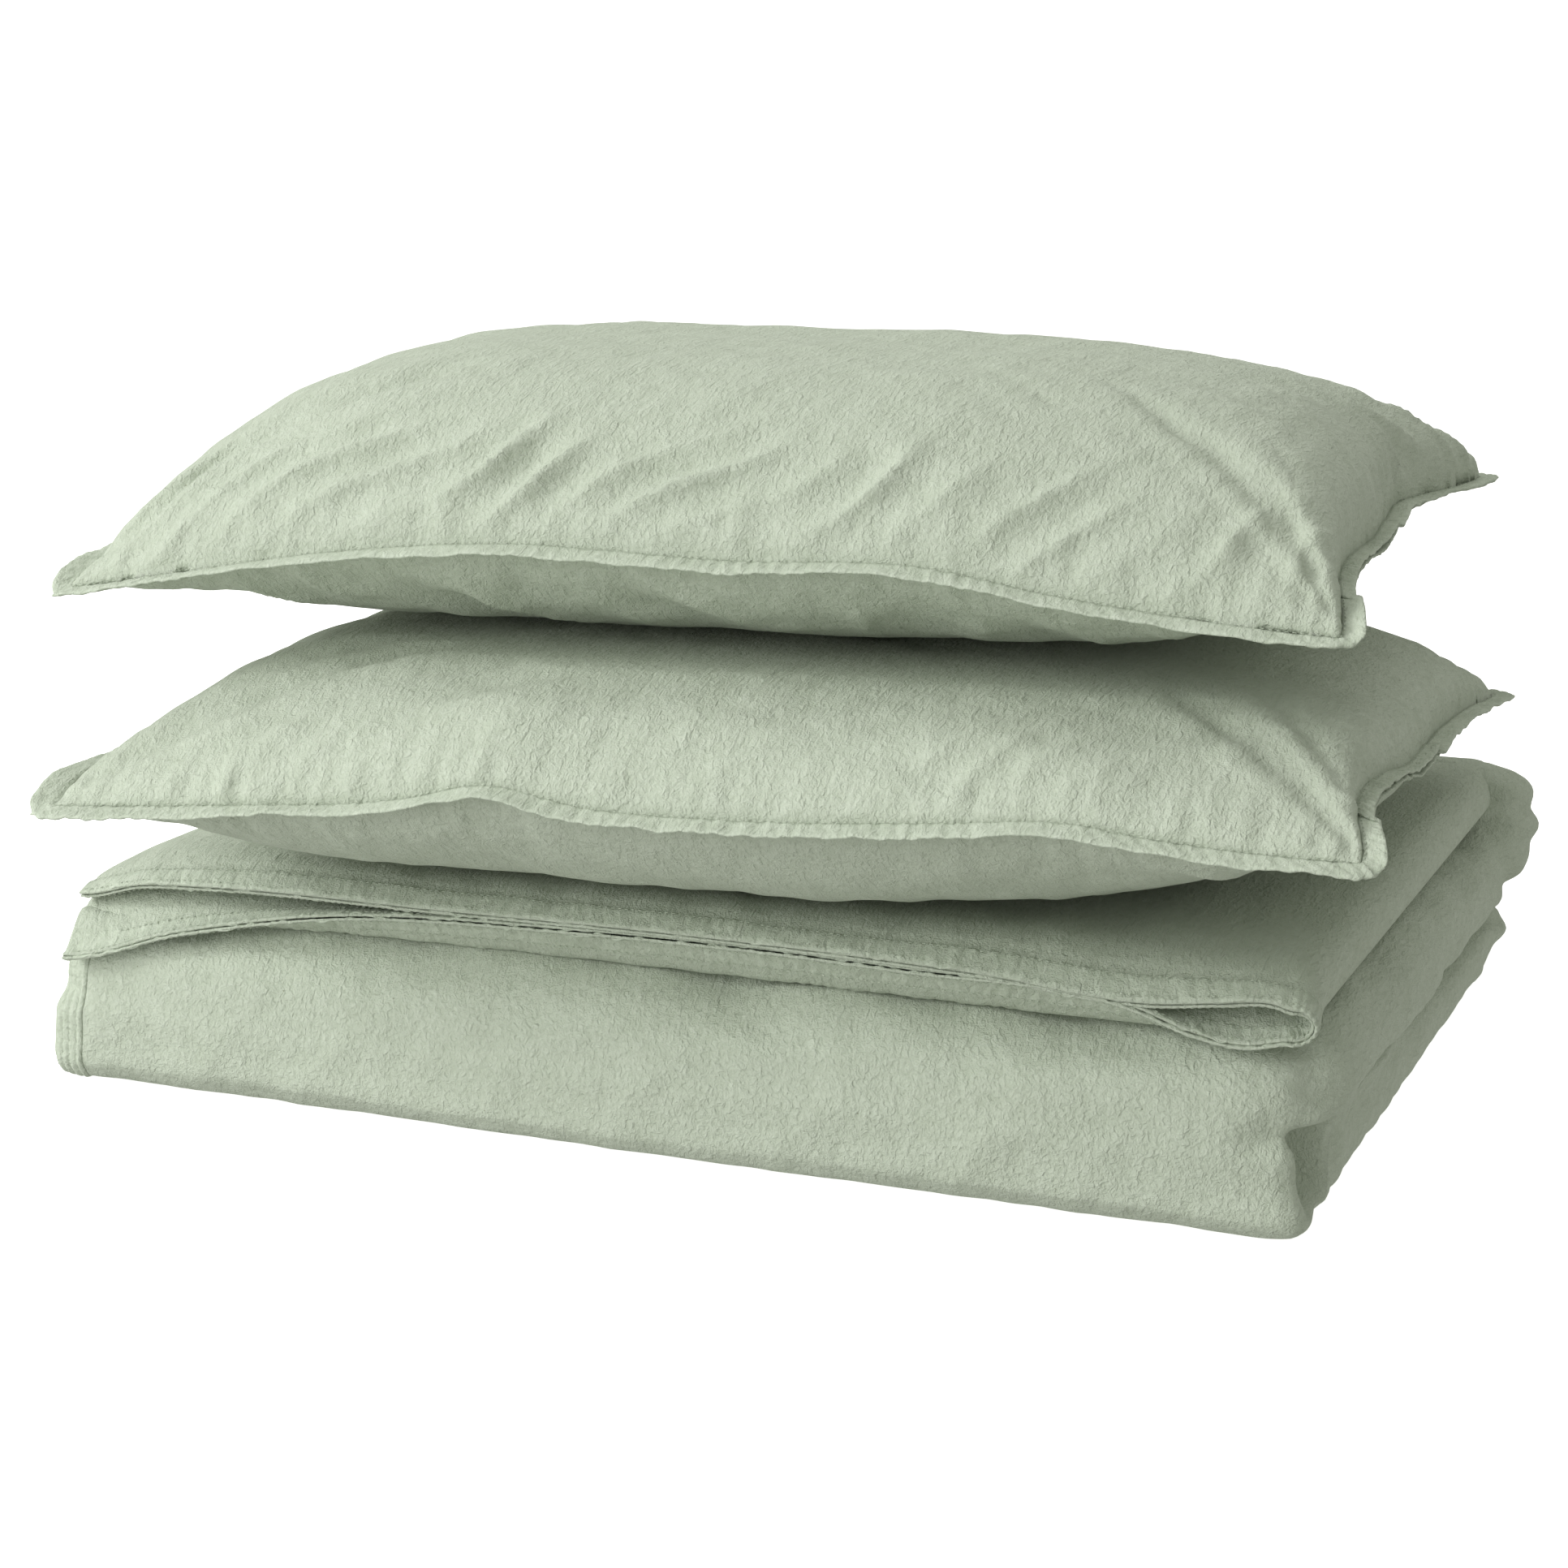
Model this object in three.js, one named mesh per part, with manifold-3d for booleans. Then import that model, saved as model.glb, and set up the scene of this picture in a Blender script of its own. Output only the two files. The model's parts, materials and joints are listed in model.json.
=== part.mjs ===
// A folded duvet in its cover, with two pillows in their pillowcases stacked on it.
//
// The duvet lies folded: its lower fold bends round at the front, its top fold comes forward over it
// from a bend at the back and ends in the cover's mouth. The cover is two cotton panels over a quilt,
// which is wadding between two casing panels. The mouth is held by press studs in its hems. Each pillow
// is a stuffed ticking in a case with a sewn flange, an open end with a hem, and an inner flap.
//
// Units are millimetres. +X runs along the mouth, +Y to the back bend and +Z up. The origin is the
// middle of the flat underside of the lower fold.
import * as THREE from "three";
import { mergeVertices } from "three/addons/utils/BufferGeometryUtils.js";
import Module from "manifold-3d";

// ---------------------------------------------------------------- driving sizes
const FOLD_WIDTH = 600; // folded duvet, along the mouth
const FOLD_DEPTH = 477; // folded duvet, front bend to back bend
const COVER = 1.5; // a cover panel, drawn thicker than the cloth so that it stays a solid
const CASING = 1.2; // a quilt casing panel
const LOWER_WADDING = 31.4; // two leaves of quilt lying on each other in the lower fold
const TOP_WADDING = 9; // one leaf of quilt in the top fold
const LOWER_SLIT = 1.5; // half the gap inside the front bend
const TOP_SLIT = 0.75; // half the gap between the two leaves of the top fold
const SEAM = 6; // width of the felled side seams
const HEM_LENGTH = 60; // cover beyond the quilt at the mouth
const HEM_BAND = 28; // the doubled band at the edge of the mouth
const HEM = 2; // thickness of the doubled band
const LEAF_GAP = 3; // open slit between the two leaves at the mouth
const SNAP_RADIUS = 5;
const SNAP_CAP = 0.9; // flange of the stud half
const SNAP_SOCKET = 2; // height of the socket half
const SNAP_POST_RADIUS = 1.7;
const SNAP_PLAY = 0.5; // round the post
const SNAPS = 3; // on each leaf
const LABEL_LENGTH = 30;
const LABEL_WIDTH = 32;
const LABEL = 0.6;

const PILLOW_LENGTH = 589; // ear to ear, flange and all
const PILLOW_WIDTH = 483;
const FLANGE = 12; // sewn edge outside the seam
const FLANGE_THICK = 3.4;
const CASE = 1.5; // a pillowcase panel
const TICKING = 1.2;
const FLAP = 1.2;
const PULL_IN = 0.05; // how far a side draws in between its ears, as a share of its half width
const LAST_U = 16; // grid steps along and across a pillow
const LAST_V = 14;
const MOUTH_FROM = 3; // the open end starts and stops at these steps of the right-hand side
const MOUTH_TO = 9;
const FLAP_STEPS = 4; // how far the inner flap reaches in
const OPENING_HEM = 9; // width of the hem at the open end
const LOWER_PILLOW = { at: [33, -79], turn: 3.4, ears: [44, 65, 44, 38], above: 60, below: 57, height: 105.4 };
const UPPER_PILLOW = { at: [9, -20], turn: 3.3, ears: [26, 36, 44, 34], above: 94, below: 46, height: 130 };

const GAP = 0.3; // between pieces that touch
const HINGE_PLAY = 0.7; // round the bend that the top fold turns on

// ---------------------------------------------------------------- worked out from them
const layers = 2 * (COVER + CASING) + 4 * GAP;
const lowerRadius = LOWER_SLIT + layers + LOWER_WADDING; // of the front bend
const topRadius = TOP_SLIT + layers + TOP_WADDING; // of the fold at the right
const lowerTop = 2 * lowerRadius;
const topBase = lowerTop + GAP;
const duvetTop = topBase + 2 * topRadius;
const front = -FOLD_DEPTH / 2;
const left = -FOLD_WIDTH / 2;
const bendZ = lowerTop + GAP / 2; // axis of the bend at the back
const bendRadius = duvetTop - bendZ;
const bendY = FOLD_DEPTH / 2 - bendRadius;
const quiltEdge = front + lowerRadius + 9; // the quilt stops here, above the front bend
const snapStack = SNAP_CAP + GAP + SNAP_SOCKET; // a closed press stud

const SEAM_X = PILLOW_LENGTH / 2 - FLANGE; // from a pillow's middle to its seam
const SEAM_Y = PILLOW_WIDTH / 2 - FLANGE;
const crowded = (i, last) => -Math.cos((Math.PI * i) / last); // -1 to 1, close together near both ends
const GRID_U = Array.from({ length: LAST_U + 1 }, (_, i) => crowded(i, LAST_U));
const GRID_V = Array.from({ length: LAST_V + 1 }, (_, j) => crowded(j, LAST_V));

const wasm = await Module();
wasm.setup();

// ---------------------------------------------------------------- helpers
const model = new THREE.Group();

function cloth(color, roughness = 0.9) {
  return new THREE.MeshStandardMaterial({ color, roughness, metalness: 0 });
}

const SAGE = cloth(0xb9c7b3);
const SAGE_HEM = cloth(0xaebda8);
const CALICO = cloth(0xefece2, 0.95);
const WADDING = cloth(0xf6f5f0, 1);
const TICKING_CLOTH = cloth(0xf2f0ea, 0.95);
const SNAP_PLASTIC = cloth(0xe6e8e2, 0.45);
const LABEL_CLOTH = cloth(0xf7f7f4, 0.8);

function piece(name, geometry, material, group = model) {
  const mesh = new THREE.Mesh(geometry, material);
  mesh.name = name;
  group.add(mesh);
  return mesh;
}

/** A profile in Y and Z, pulled along X from x0 to x1. */
function alongX(shape, x0, x1) {
  const made = new THREE.ExtrudeGeometry(shape, { depth: x1 - x0, bevelEnabled: false, curveSegments: 14 });
  return made.applyMatrix4(new THREE.Matrix4().makeRotationFromEuler(new THREE.Euler(Math.PI / 2, Math.PI / 2, 0)))
    .translate(x0, 0, 0);
}

/** A profile in X and Z, pulled along Y from y0 to y1. */
function alongY(shape, y0, y1) {
  const made = new THREE.ExtrudeGeometry(shape, { depth: y1 - y0, bevelEnabled: false, curveSegments: 14 });
  return made.rotateX(Math.PI / 2).translate(0, y1, 0);
}

/** One layer of a U fold between two radii. The bend is at (a, z) and the arms run to `end`. */
function foldLayer(a, z, inner, outer, end) {
  const turn = end > a ? 1 : -1; // which way the arms run from the bend
  const top = Math.PI / 2;
  const shape = new THREE.Shape();
  shape.moveTo(end, z + outer);
  shape.lineTo(a, z + outer);
  shape.absarc(a, z, outer, top, -top, turn < 0);
  shape.lineTo(end, z - outer);
  shape.lineTo(end, z - inner);
  shape.lineTo(a, z - inner);
  shape.absarc(a, z, inner, -top, top, turn > 0);
  shape.lineTo(end, z + inner);
  return shape;
}

/** The radii of a quilt fold's five layers, from the inside out. */
function foldRadii(slit, wadding) {
  const names = ["cover_inner", "casing_inner", "wadding", "casing_outer", "cover_outer"];
  const thick = [COVER, CASING, wadding, CASING, COVER];
  const cloths = [SAGE, CALICO, WADDING, CALICO, SAGE];
  let radius = slit;
  return names.map((name, i) => {
    const layer = { name, inner: radius, outer: radius + thick[i], cloth: cloths[i] };
    radius = layer.outer + GAP;
    return layer;
  });
}

function solid(geometry) {
  const bare = geometry.clone();
  bare.deleteAttribute("normal");
  bare.deleteAttribute("uv");
  const merged = mergeVertices(bare, 1e-3);
  return new wasm.Manifold(
    new wasm.Mesh({
      numProp: 3,
      vertProperties: merged.attributes.position.array,
      triVerts: new Uint32Array(merged.index.array),
    }),
  );
}

function geometryOf(manifold) {
  const mesh = manifold.getMesh();
  return new THREE.BufferGeometry()
    .setAttribute("position", new THREE.BufferAttribute(mesh.vertProperties, 3))
    .setIndex(new THREE.BufferAttribute(mesh.triVerts, 1));
}

/** A round bar along X about the axis of the bend at the back. */
function bendBar(radius, x0, x1) {
  return new THREE.CylinderGeometry(radius, radius, x1 - x0, 40)
    .rotateZ(Math.PI / 2)
    .translate((x0 + x1) / 2, bendY, bendZ);
}

/** A closed solid between two surfaces over the same grid of u and v. */
function between(us, vs, upper, lower) {
  const points = [];
  const faces = [];
  const nu = us.length;
  const nv = vs.length;
  for (const surface of [upper, lower]) {
    for (const u of us) for (const v of vs) points.push(...surface(u, v));
  }
  const at = (side, i, j) => side * nu * nv + i * nv + j;
  const quad = (a, b, c, d) => faces.push(a, b, c, a, c, d);
  for (let i = 0; i < nu - 1; i++) {
    for (let j = 0; j < nv - 1; j++) {
      quad(at(0, i, j), at(0, i + 1, j), at(0, i + 1, j + 1), at(0, i, j + 1));
      quad(at(1, i, j), at(1, i, j + 1), at(1, i + 1, j + 1), at(1, i + 1, j));
    }
  }
  const rim = [];
  for (let i = 0; i < nu - 1; i++) rim.push([i, 0]);
  for (let j = 0; j < nv - 1; j++) rim.push([nu - 1, j]);
  for (let i = nu - 1; i > 0; i--) rim.push([i, nv - 1]);
  for (let j = nv - 1; j > 0; j--) rim.push([0, j]);
  rim.forEach(([i, j], k) => {
    const [m, n] = rim[(k + 1) % rim.length];
    quad(at(0, i, j), at(1, i, j), at(1, m, n), at(0, m, n));
  });
  const made = new THREE.BufferGeometry();
  made.setAttribute("position", new THREE.Float32BufferAttribute(points, 3));
  made.setIndex(faces);
  return made;
}

/** The whole numbers from a to b. */
function steps(a, b) {
  return Array.from({ length: b - a + 1 }, (_, i) => a + i);
}

// ---------------------------------------------------------------- the duvet's lower fold
function lowerFold() {
  const bend = front + lowerRadius;
  // Room for the bend at the back: its round, and everything above its underside behind its axis.
  const room = bendRadius + GAP;
  const behind = new THREE.BoxGeometry(FOLD_WIDTH + 2 * SEAM + 2, room, 2 * room).translate(0, bendY + room / 2, bendZ);
  const hollow = solid(bendBar(room, left - SEAM - 1, -left + 1)).add(solid(behind));
  for (const layer of foldRadii(LOWER_SLIT, LOWER_WADDING)) {
    const shape = foldLayer(bend, lowerRadius, layer.inner, layer.outer, bendY + bendRadius / 2);
    const cut = solid(alongX(shape, left, -left)).subtract(hollow);
    piece(`${layer.name}_lower`, geometryOf(cut), layer.cloth);
  }
  const seam = foldLayer(bend, lowerRadius, LOWER_SLIT, lowerRadius, bendY + bendRadius / 2);
  const sewn = solid(alongX(seam, left - SEAM, left - GAP)).subtract(hollow);
  piece("side_seam_lower", geometryOf(sewn), SAGE_HEM);
}

/** The quilt and cover turning up at the back, which the top fold turns on. */
function backBend() {
  piece("quilt_back_bend", bendBar(bendRadius - COVER - GAP, left, -left), WADDING);
  const shape = new THREE.Shape();
  const from = THREE.MathUtils.degToRad(-100);
  const to = THREE.MathUtils.degToRad(86);
  shape.absarc(bendY, bendZ, bendRadius, from, to, false);
  shape.absarc(bendY, bendZ, bendRadius - COVER, to, from, true);
  piece("cover_back_bend", alongX(shape, left, -left), SAGE);
}

// ---------------------------------------------------------------- the duvet's top fold
function topFold() {
  const middle = topBase + topRadius;
  const bend = -left - topRadius; // the leaves join along the right-hand side
  const hollow = solid(bendBar(bendRadius + HINGE_PLAY, left - SEAM - 1, -left + 1));
  for (const layer of foldRadii(TOP_SLIT, TOP_WADDING)) {
    const shape = foldLayer(bend, middle, layer.inner, layer.outer, left);
    const cut = solid(alongY(shape, quiltEdge, bendY)).subtract(hollow);
    piece(`${layer.name}_top`, geometryOf(cut), layer.cloth);
  }
  const leafThick = topRadius - TOP_SLIT;
  const leaves = { upper: middle + TOP_SLIT, lower: topBase };
  for (const [leaf, z] of Object.entries(leaves)) {
    const bar = new THREE.BoxGeometry(SEAM - GAP, bendY - quiltEdge, leafThick)
      .translate(left - (SEAM + GAP) / 2, (bendY + quiltEdge) / 2, z + leafThick / 2);
    piece(`side_seam_${leaf}_leaf`, geometryOf(solid(bar).subtract(hollow)), SAGE_HEM);
  }
}

// ---------------------------------------------------------------- the cover's mouth
/** A cover panel running on from the quilt's edge to its doubled band. */
function lipProfile(rootZ, bandZ) {
  const root = quiltEdge - 2 * GAP;
  const tip = quiltEdge - HEM_LENGTH;
  const band = tip + HEM_BAND;
  const slopeEnd = (root + band) / 2;
  const shape = new THREE.Shape();
  shape.moveTo(root, rootZ);
  shape.lineTo(root, rootZ + COVER);
  shape.lineTo(slopeEnd, bandZ + COVER);
  shape.lineTo(band, bandZ + COVER);
  shape.lineTo(band, bandZ + HEM);
  shape.lineTo(tip, bandZ + HEM);
  shape.lineTo(tip, bandZ);
  shape.lineTo(slopeEnd, bandZ);
  return shape;
}

function mouth() {
  const middle = topBase + topRadius;
  const bandStep = HEM + snapStack + 2 * GAP; // from one hem to the next with a closed stud between
  const zLowerOuter = topBase + 1;
  const zLowerInner = zLowerOuter + bandStep;
  const zUpperInner = zLowerInner + HEM + LEAF_GAP;
  const zUpperOuter = zUpperInner + bandStep;
  const foldRadius = (zUpperOuter + HEM - zLowerOuter) / 2;
  const foldX = -left - foldRadius; // where the hem turns from one leaf into the other
  const tip = quiltEdge - HEM_LENGTH;

  const innerRoot = middle + TOP_SLIT;
  piece("upper_hem_outer", alongX(lipProfile(duvetTop - COVER, zUpperOuter), left, foldX - 2 * GAP), SAGE_HEM);
  piece("upper_hem_inner", alongX(lipProfile(innerRoot, zUpperInner), left, foldX - foldRadius), SAGE_HEM);
  piece("lower_hem_inner", alongX(lipProfile(middle - TOP_SLIT - COVER, zLowerInner), left, foldX - foldRadius), SAGE_HEM);

  const turn = new THREE.Shape();
  turn.moveTo(foldX, zLowerOuter);
  turn.absarc(foldX, zLowerOuter + foldRadius, foldRadius, -Math.PI / 2, Math.PI / 2, false);
  turn.absarc(foldX, zLowerOuter + foldRadius, foldRadius - HEM, Math.PI / 2, -Math.PI / 2, true);
  const lowerHem = solid(alongX(lipProfile(topBase, zLowerOuter), left, foldX))
    .add(solid(alongY(turn, tip, tip + HEM_BAND)));
  piece("lower_hem_outer", geometryOf(lowerHem), SAGE_HEM);

  const snapY = tip + HEM_BAND / 2;
  const pitch = (foldX - left) / SNAPS;
  const leaves = [
    { name: "lower", z: zLowerOuter + HEM + GAP },
    { name: "upper", z: zUpperInner + HEM + GAP },
  ];
  for (const leaf of leaves) {
    for (let i = 0; i < SNAPS; i++) {
      const x = left + pitch * (i + 0.5);
      piece(`${leaf.name}_snap_socket_${i + 1}`, snapSocket(), SNAP_PLASTIC).position.set(x, snapY, leaf.z);
      piece(`${leaf.name}_snap_stud_${i + 1}`, snapStud(), SNAP_PLASTIC)
        .position.set(x, snapY, leaf.z + SNAP_SOCKET + GAP);
    }
  }

  const label = new THREE.BoxGeometry(LABEL_LENGTH, LABEL_WIDTH, LABEL);
  piece("care_label", label, LABEL_CLOTH)
    .position.set(left + LABEL_LENGTH / 2 + 4, tip + 4 + LABEL_WIDTH / 2, zLowerInner + HEM + GAP + LABEL / 2);
}

/** The socket half: a round boss with a blind hole in its top. */
function snapSocket() {
  const hole = SNAP_POST_RADIUS + SNAP_PLAY;
  const floor = SNAP_SOCKET * 0.3;
  return lathe([[0, 0], [SNAP_RADIUS, 0], [SNAP_RADIUS, SNAP_SOCKET], [hole, SNAP_SOCKET], [hole, floor], [0, floor]]);
}

/** The stud half, cap up and post down. */
function snapStud() {
  const post = SNAP_SOCKET * 0.5 + GAP;
  return lathe([[0, -post], [SNAP_POST_RADIUS, -post], [SNAP_POST_RADIUS, 0], [SNAP_RADIUS, 0],
    [SNAP_RADIUS, SNAP_CAP], [0, SNAP_CAP]]);
}

function lathe(profile) {
  const points = profile.map(([r, z]) => new THREE.Vector2(r, z));
  return new THREE.LatheGeometry(points, 16).rotateX(Math.PI / 2);
}

// ---------------------------------------------------------------- a pillow in its case
/** Builds one pillow in its own group. Its floor is the surface that it rests on. */
function pillow(name, spec, floor) {
  const group = new THREE.Group();
  group.position.set(spec.at[0], spec.at[1], floor);
  group.rotation.z = THREE.MathUtils.degToRad(spec.turn);
  model.add(group);

  const [frontLeft, frontRight, backRight, backLeft] = spec.ears;
  const seamZ = (u, v) => {
    const a = (1 + u) / 2;
    const b = (1 + v) / 2;
    return (frontLeft * (1 - a) + frontRight * a) * (1 - b) + (backLeft * (1 - a) + backRight * a) * b;
  };
  const bulge = (u, v) => ((1 - Math.abs(u) ** 3.2) * (1 - Math.abs(v) ** 3.2)) ** 0.6;
  const seam = FLANGE_THICK / 2;
  const top = (u, v) => Math.min(seamZ(u, v) + seam + spec.above * bulge(u, v), spec.height);
  const base = (u, v) => Math.max(seamZ(u, v) - seam - spec.below * bulge(u, v), GAP);

  // Every skin stands on the same grid, `inset` steps in from the seam, so its gaps are exact. It lies
  // `depth` inside the case's outside, and its own edge closes to `edge` from the middle of the seam.
  const skin = (side, depth, edge, inset) => (i, j) => {
    const [u, v] = [GRID_U[i], GRID_V[j]];
    const [x, y] = pillowPlan(u, v);
    const rim = i === inset || j === inset || i === LAST_U - inset || j === LAST_V - inset;
    if (rim && edge !== null) return [x, y, seamZ(u, v) + side * edge];
    return [x, y, side > 0 ? top(u, v) - depth : base(u, v) + depth];
  };
  const part = (label, upper, lower, cloths, us, vs) =>
    piece(`${name}_${label}`, between(us, vs, upper, lower), cloths, group);
  const inside = (inset) => [steps(inset, LAST_U - inset), steps(inset, LAST_V - inset)];

  const split = GAP / 2 + 0.05; // half the gap between two panels at their seam
  part("case_top", skin(1, 0, seam, 0), skin(1, CASE, split, 0), SAGE, ...inside(0));
  part("case_bottom", skin(-1, CASE, split, 0), skin(-1, 0, seam, 0), SAGE, ...inside(0));

  const topDepth = CASE + FLAP + 2 * GAP;
  const baseDepth = CASE + GAP;
  const sewn = split + TICKING;
  part("ticking_top", skin(1, topDepth, sewn, 1), skin(1, topDepth + TICKING, split, 1), TICKING_CLOTH, ...inside(1));
  part("ticking_bottom", skin(-1, baseDepth + TICKING, split, 1), skin(-1, baseDepth, sewn, 1), TICKING_CLOTH,
    ...inside(1));
  const fillTop = topDepth + TICKING + GAP;
  const fillBase = baseDepth + TICKING + GAP;
  part("filling", skin(1, fillTop, null, 2), skin(-1, fillBase, null, 2), WADDING, ...inside(2));

  // The flap lies behind the opening, between the case and the ticking.
  part("case_inner_flap", skin(1, CASE + GAP, null, 1), skin(1, CASE + GAP + FLAP, null, 1), SAGE,
    steps(LAST_U - FLAP_STEPS, LAST_U - 1), steps(MOUTH_FROM, MOUTH_TO));

  edgeStrip(group, `${name}_case_flange`, flangeRoute(), FLANGE, seamZ);
  edgeStrip(group, `${name}_case_opening_hem`, openingRoute(), OPENING_HEM, seamZ);
}

/** The plan of a pillow's seam and of everything inside it: its sides draw in between the ears. */
function pillowPlan(u, v) {
  return [u * SEAM_X * (1 - PULL_IN * (1 - v * v)), v * SEAM_Y * (1 - PULL_IN * (1 - u * u))];
}

/** The seam from one end of the opening, round the other three sides, to the opening's other end. */
function flangeRoute() {
  return [
    ...steps(0, MOUTH_FROM).reverse().map((j) => [1, GRID_V[j]]),
    ...steps(1, LAST_U).reverse().slice(1).map((i) => [GRID_U[i], -1]),
    ...steps(0, LAST_V - 1).map((j) => [-1, GRID_V[j]]),
    ...steps(0, LAST_U - 1).map((i) => [GRID_U[i], 1]),
    ...steps(MOUTH_TO, LAST_V).reverse().map((j) => [1, GRID_V[j]]),
  ];
}

/** The open end, stopping a little short of the flange at both ends. */
function openingRoute() {
  const clear = (2 * GAP) / SEAM_Y;
  const route = steps(MOUTH_FROM, MOUTH_TO).reverse().map((j) => [1, GRID_V[j]]);
  route[0][1] -= clear;
  route.at(-1)[1] += clear;
  return route;
}

/** A flat sewn strip just outside the seam, along the points of `route`. */
function edgeStrip(group, name, route, width, seamZ) {
  const surface = (side) => (s, t) => {
    const [u, v] = route[s];
    const [x, y] = pillowPlan(u, v);
    const out = GAP + t * (width - GAP);
    return [x * (1 + out / SEAM_X), y * (1 + out / SEAM_Y), seamZ(u, v) + (side * FLANGE_THICK) / 2];
  };
  piece(name, between(steps(0, route.length - 1), [0, 1], surface(1), surface(-1)), SAGE_HEM, group);
}

lowerFold();
backBend();
topFold();
mouth();
pillow("lower", LOWER_PILLOW, duvetTop);
pillow("upper", UPPER_PILLOW, duvetTop + LOWER_PILLOW.height);

export default model;
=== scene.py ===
import json
import logging
import math
from dataclasses import dataclass
from enum import Enum
from typing import Callable, Sequence

import bmesh
import bpy
import numpy as np
from mathutils import Matrix, Vector
from mathutils.bvhtree import BVHTree


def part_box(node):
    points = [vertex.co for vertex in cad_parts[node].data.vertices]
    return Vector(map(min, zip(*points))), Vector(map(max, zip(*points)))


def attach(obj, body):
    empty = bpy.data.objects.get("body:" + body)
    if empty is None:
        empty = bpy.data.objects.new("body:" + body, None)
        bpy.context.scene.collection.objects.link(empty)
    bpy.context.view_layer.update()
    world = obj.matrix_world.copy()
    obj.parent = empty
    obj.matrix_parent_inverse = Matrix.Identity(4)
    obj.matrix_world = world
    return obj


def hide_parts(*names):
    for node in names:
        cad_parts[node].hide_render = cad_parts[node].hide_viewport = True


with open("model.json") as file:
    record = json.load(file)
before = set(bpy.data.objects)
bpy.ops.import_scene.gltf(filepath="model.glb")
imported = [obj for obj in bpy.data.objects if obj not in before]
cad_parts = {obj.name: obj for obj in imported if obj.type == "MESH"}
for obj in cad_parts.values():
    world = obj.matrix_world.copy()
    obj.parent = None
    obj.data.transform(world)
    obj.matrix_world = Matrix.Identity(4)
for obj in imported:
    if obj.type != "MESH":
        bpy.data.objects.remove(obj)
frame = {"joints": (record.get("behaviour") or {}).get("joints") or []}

log = logging.getLogger("bedding")
Array = np.ndarray

MM = 0.001
SEED = 11
GROUND = 0.2 * MM  # how far the cloth stays off the ground


class Body(str, Enum):
    """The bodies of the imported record."""

    BASE = "folded_base"
    TOP = "top_fold"
    LOWER = "lower_pillow"
    UPPER = "upper_pillow"


class Cloth(str, Enum):
    """The names of the record's material slots."""

    PANEL = "washed_cotton"
    HEM = "hem_cotton"
    LABEL = "label_tape"
    STUD = "stud_plastic"


# ------------------------------------------------------------------ numbers
def smooth(x: Array | float, lo: float, hi: float) -> Array:
    """A smooth step from 0 at lo to 1 at hi."""
    t = np.clip((x - lo) / (hi - lo), 0, 1)
    return t * t * (3 - 2 * t)


def through(x: Array, points: Sequence[tuple[float, float]]) -> Array:
    """A smooth curve through (x, value) points, level outside them.

    Args:
        x: Where to read the curve.
        points: The points, in order of x.
    Returns:
        The curve's values.
    """
    px = np.array([p[0] for p in points], float)
    py = np.array([p[1] for p in points], float)
    slope = np.gradient(py, px)
    slope[0] = slope[-1] = 0
    x = np.clip(x, px[0], px[-1])
    i = np.clip(np.searchsorted(px, x) - 1, 0, len(px) - 2)
    h = px[i + 1] - px[i]
    t = (x - px[i]) / h
    a = (2 * t**3 - 3 * t**2 + 1) * py[i] + (t**3 - 2 * t**2 + t) * h * slope[i]
    b = (-2 * t**3 + 3 * t**2) * py[i + 1] + (t**3 - t**2) * h * slope[i + 1]
    return a + b


def soft_min(a: Array, b: Array | float, width: float) -> Array:
    """The smaller of two heights, with the edge between them rounded over a width."""
    h = np.clip(0.5 + 0.5 * (b - a) / width, 0, 1)
    return b * (1 - h) + a * h - width * h * (1 - h)


def soft_max(a: Array, b: Array | float, width: float) -> Array:
    """The larger of two heights, with the edge between them rounded over a width."""
    return -soft_min(-a, -b, width)


def waves(p: Array, length: float, seed: int, count: int = 14,
          stretch: Sequence[float] = (1, 1, 1)) -> Array:
    """Smooth seeded relief, about -1 to 1, made of waves that run every way.

    Args:
        p: Points, one a row.
        length: The waves' length, in metres.
        seed: What makes this relief its own.
        count: How many waves are added.
        stretch: How many times longer the relief is along each axis.
    Returns:
        One value for each point.
    """
    rng = np.random.default_rng(SEED + seed)
    way = rng.normal(size=(count, 3))
    way /= np.linalg.norm(way, axis=1, keepdims=True)
    way *= rng.uniform(0.7, 1.35, size=(count, 1)) * 2 * math.pi / length
    phase = rng.uniform(0, 2 * math.pi, size=count)
    return np.sin((p / np.array(stretch)) @ way.T + phase).sum(1) / math.sqrt(count)


# ------------------------------------------------------------------ meshes
def points_of(obj: bpy.types.Object) -> Array:
    """An object's vertices, one a row."""
    co = np.empty(len(obj.data.vertices) * 3)
    obj.data.vertices.foreach_get("co", co)
    return co.reshape(-1, 3)


def set_points(obj: bpy.types.Object, co: Array) -> None:
    """Moves an object's vertices to these rows."""
    obj.data.vertices.foreach_set("co", np.ascontiguousarray(co, np.float32).ravel())
    obj.data.update()


def normals_of(obj: bpy.types.Object) -> Array:
    """An object's vertex normals, one a row."""
    n = np.empty(len(obj.data.vertices) * 3)
    obj.data.vertices.foreach_get("normal", n)
    return n.reshape(-1, 3)


def read_attribute(obj: bpy.types.Object, name: str) -> Array:
    """A float attribute of an object's vertices."""
    values = np.empty(len(obj.data.vertices))
    obj.data.attributes[name].data.foreach_get("value", values)
    return values


def to_object(bm: bmesh.types.BMesh, name: str) -> bpy.types.Object:
    """Ends a bmesh and puts it in the scene, shaded smooth.

    Args:
        bm: The mesh; it is freed.
        name: The object's name.
    Returns:
        The object.
    """
    mesh = bpy.data.meshes.new(name)
    bm.to_mesh(mesh)
    bm.free()
    mesh.shade_smooth()
    obj = bpy.data.objects.new(name, mesh)
    bpy.context.scene.collection.objects.link(obj)
    return obj


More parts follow.
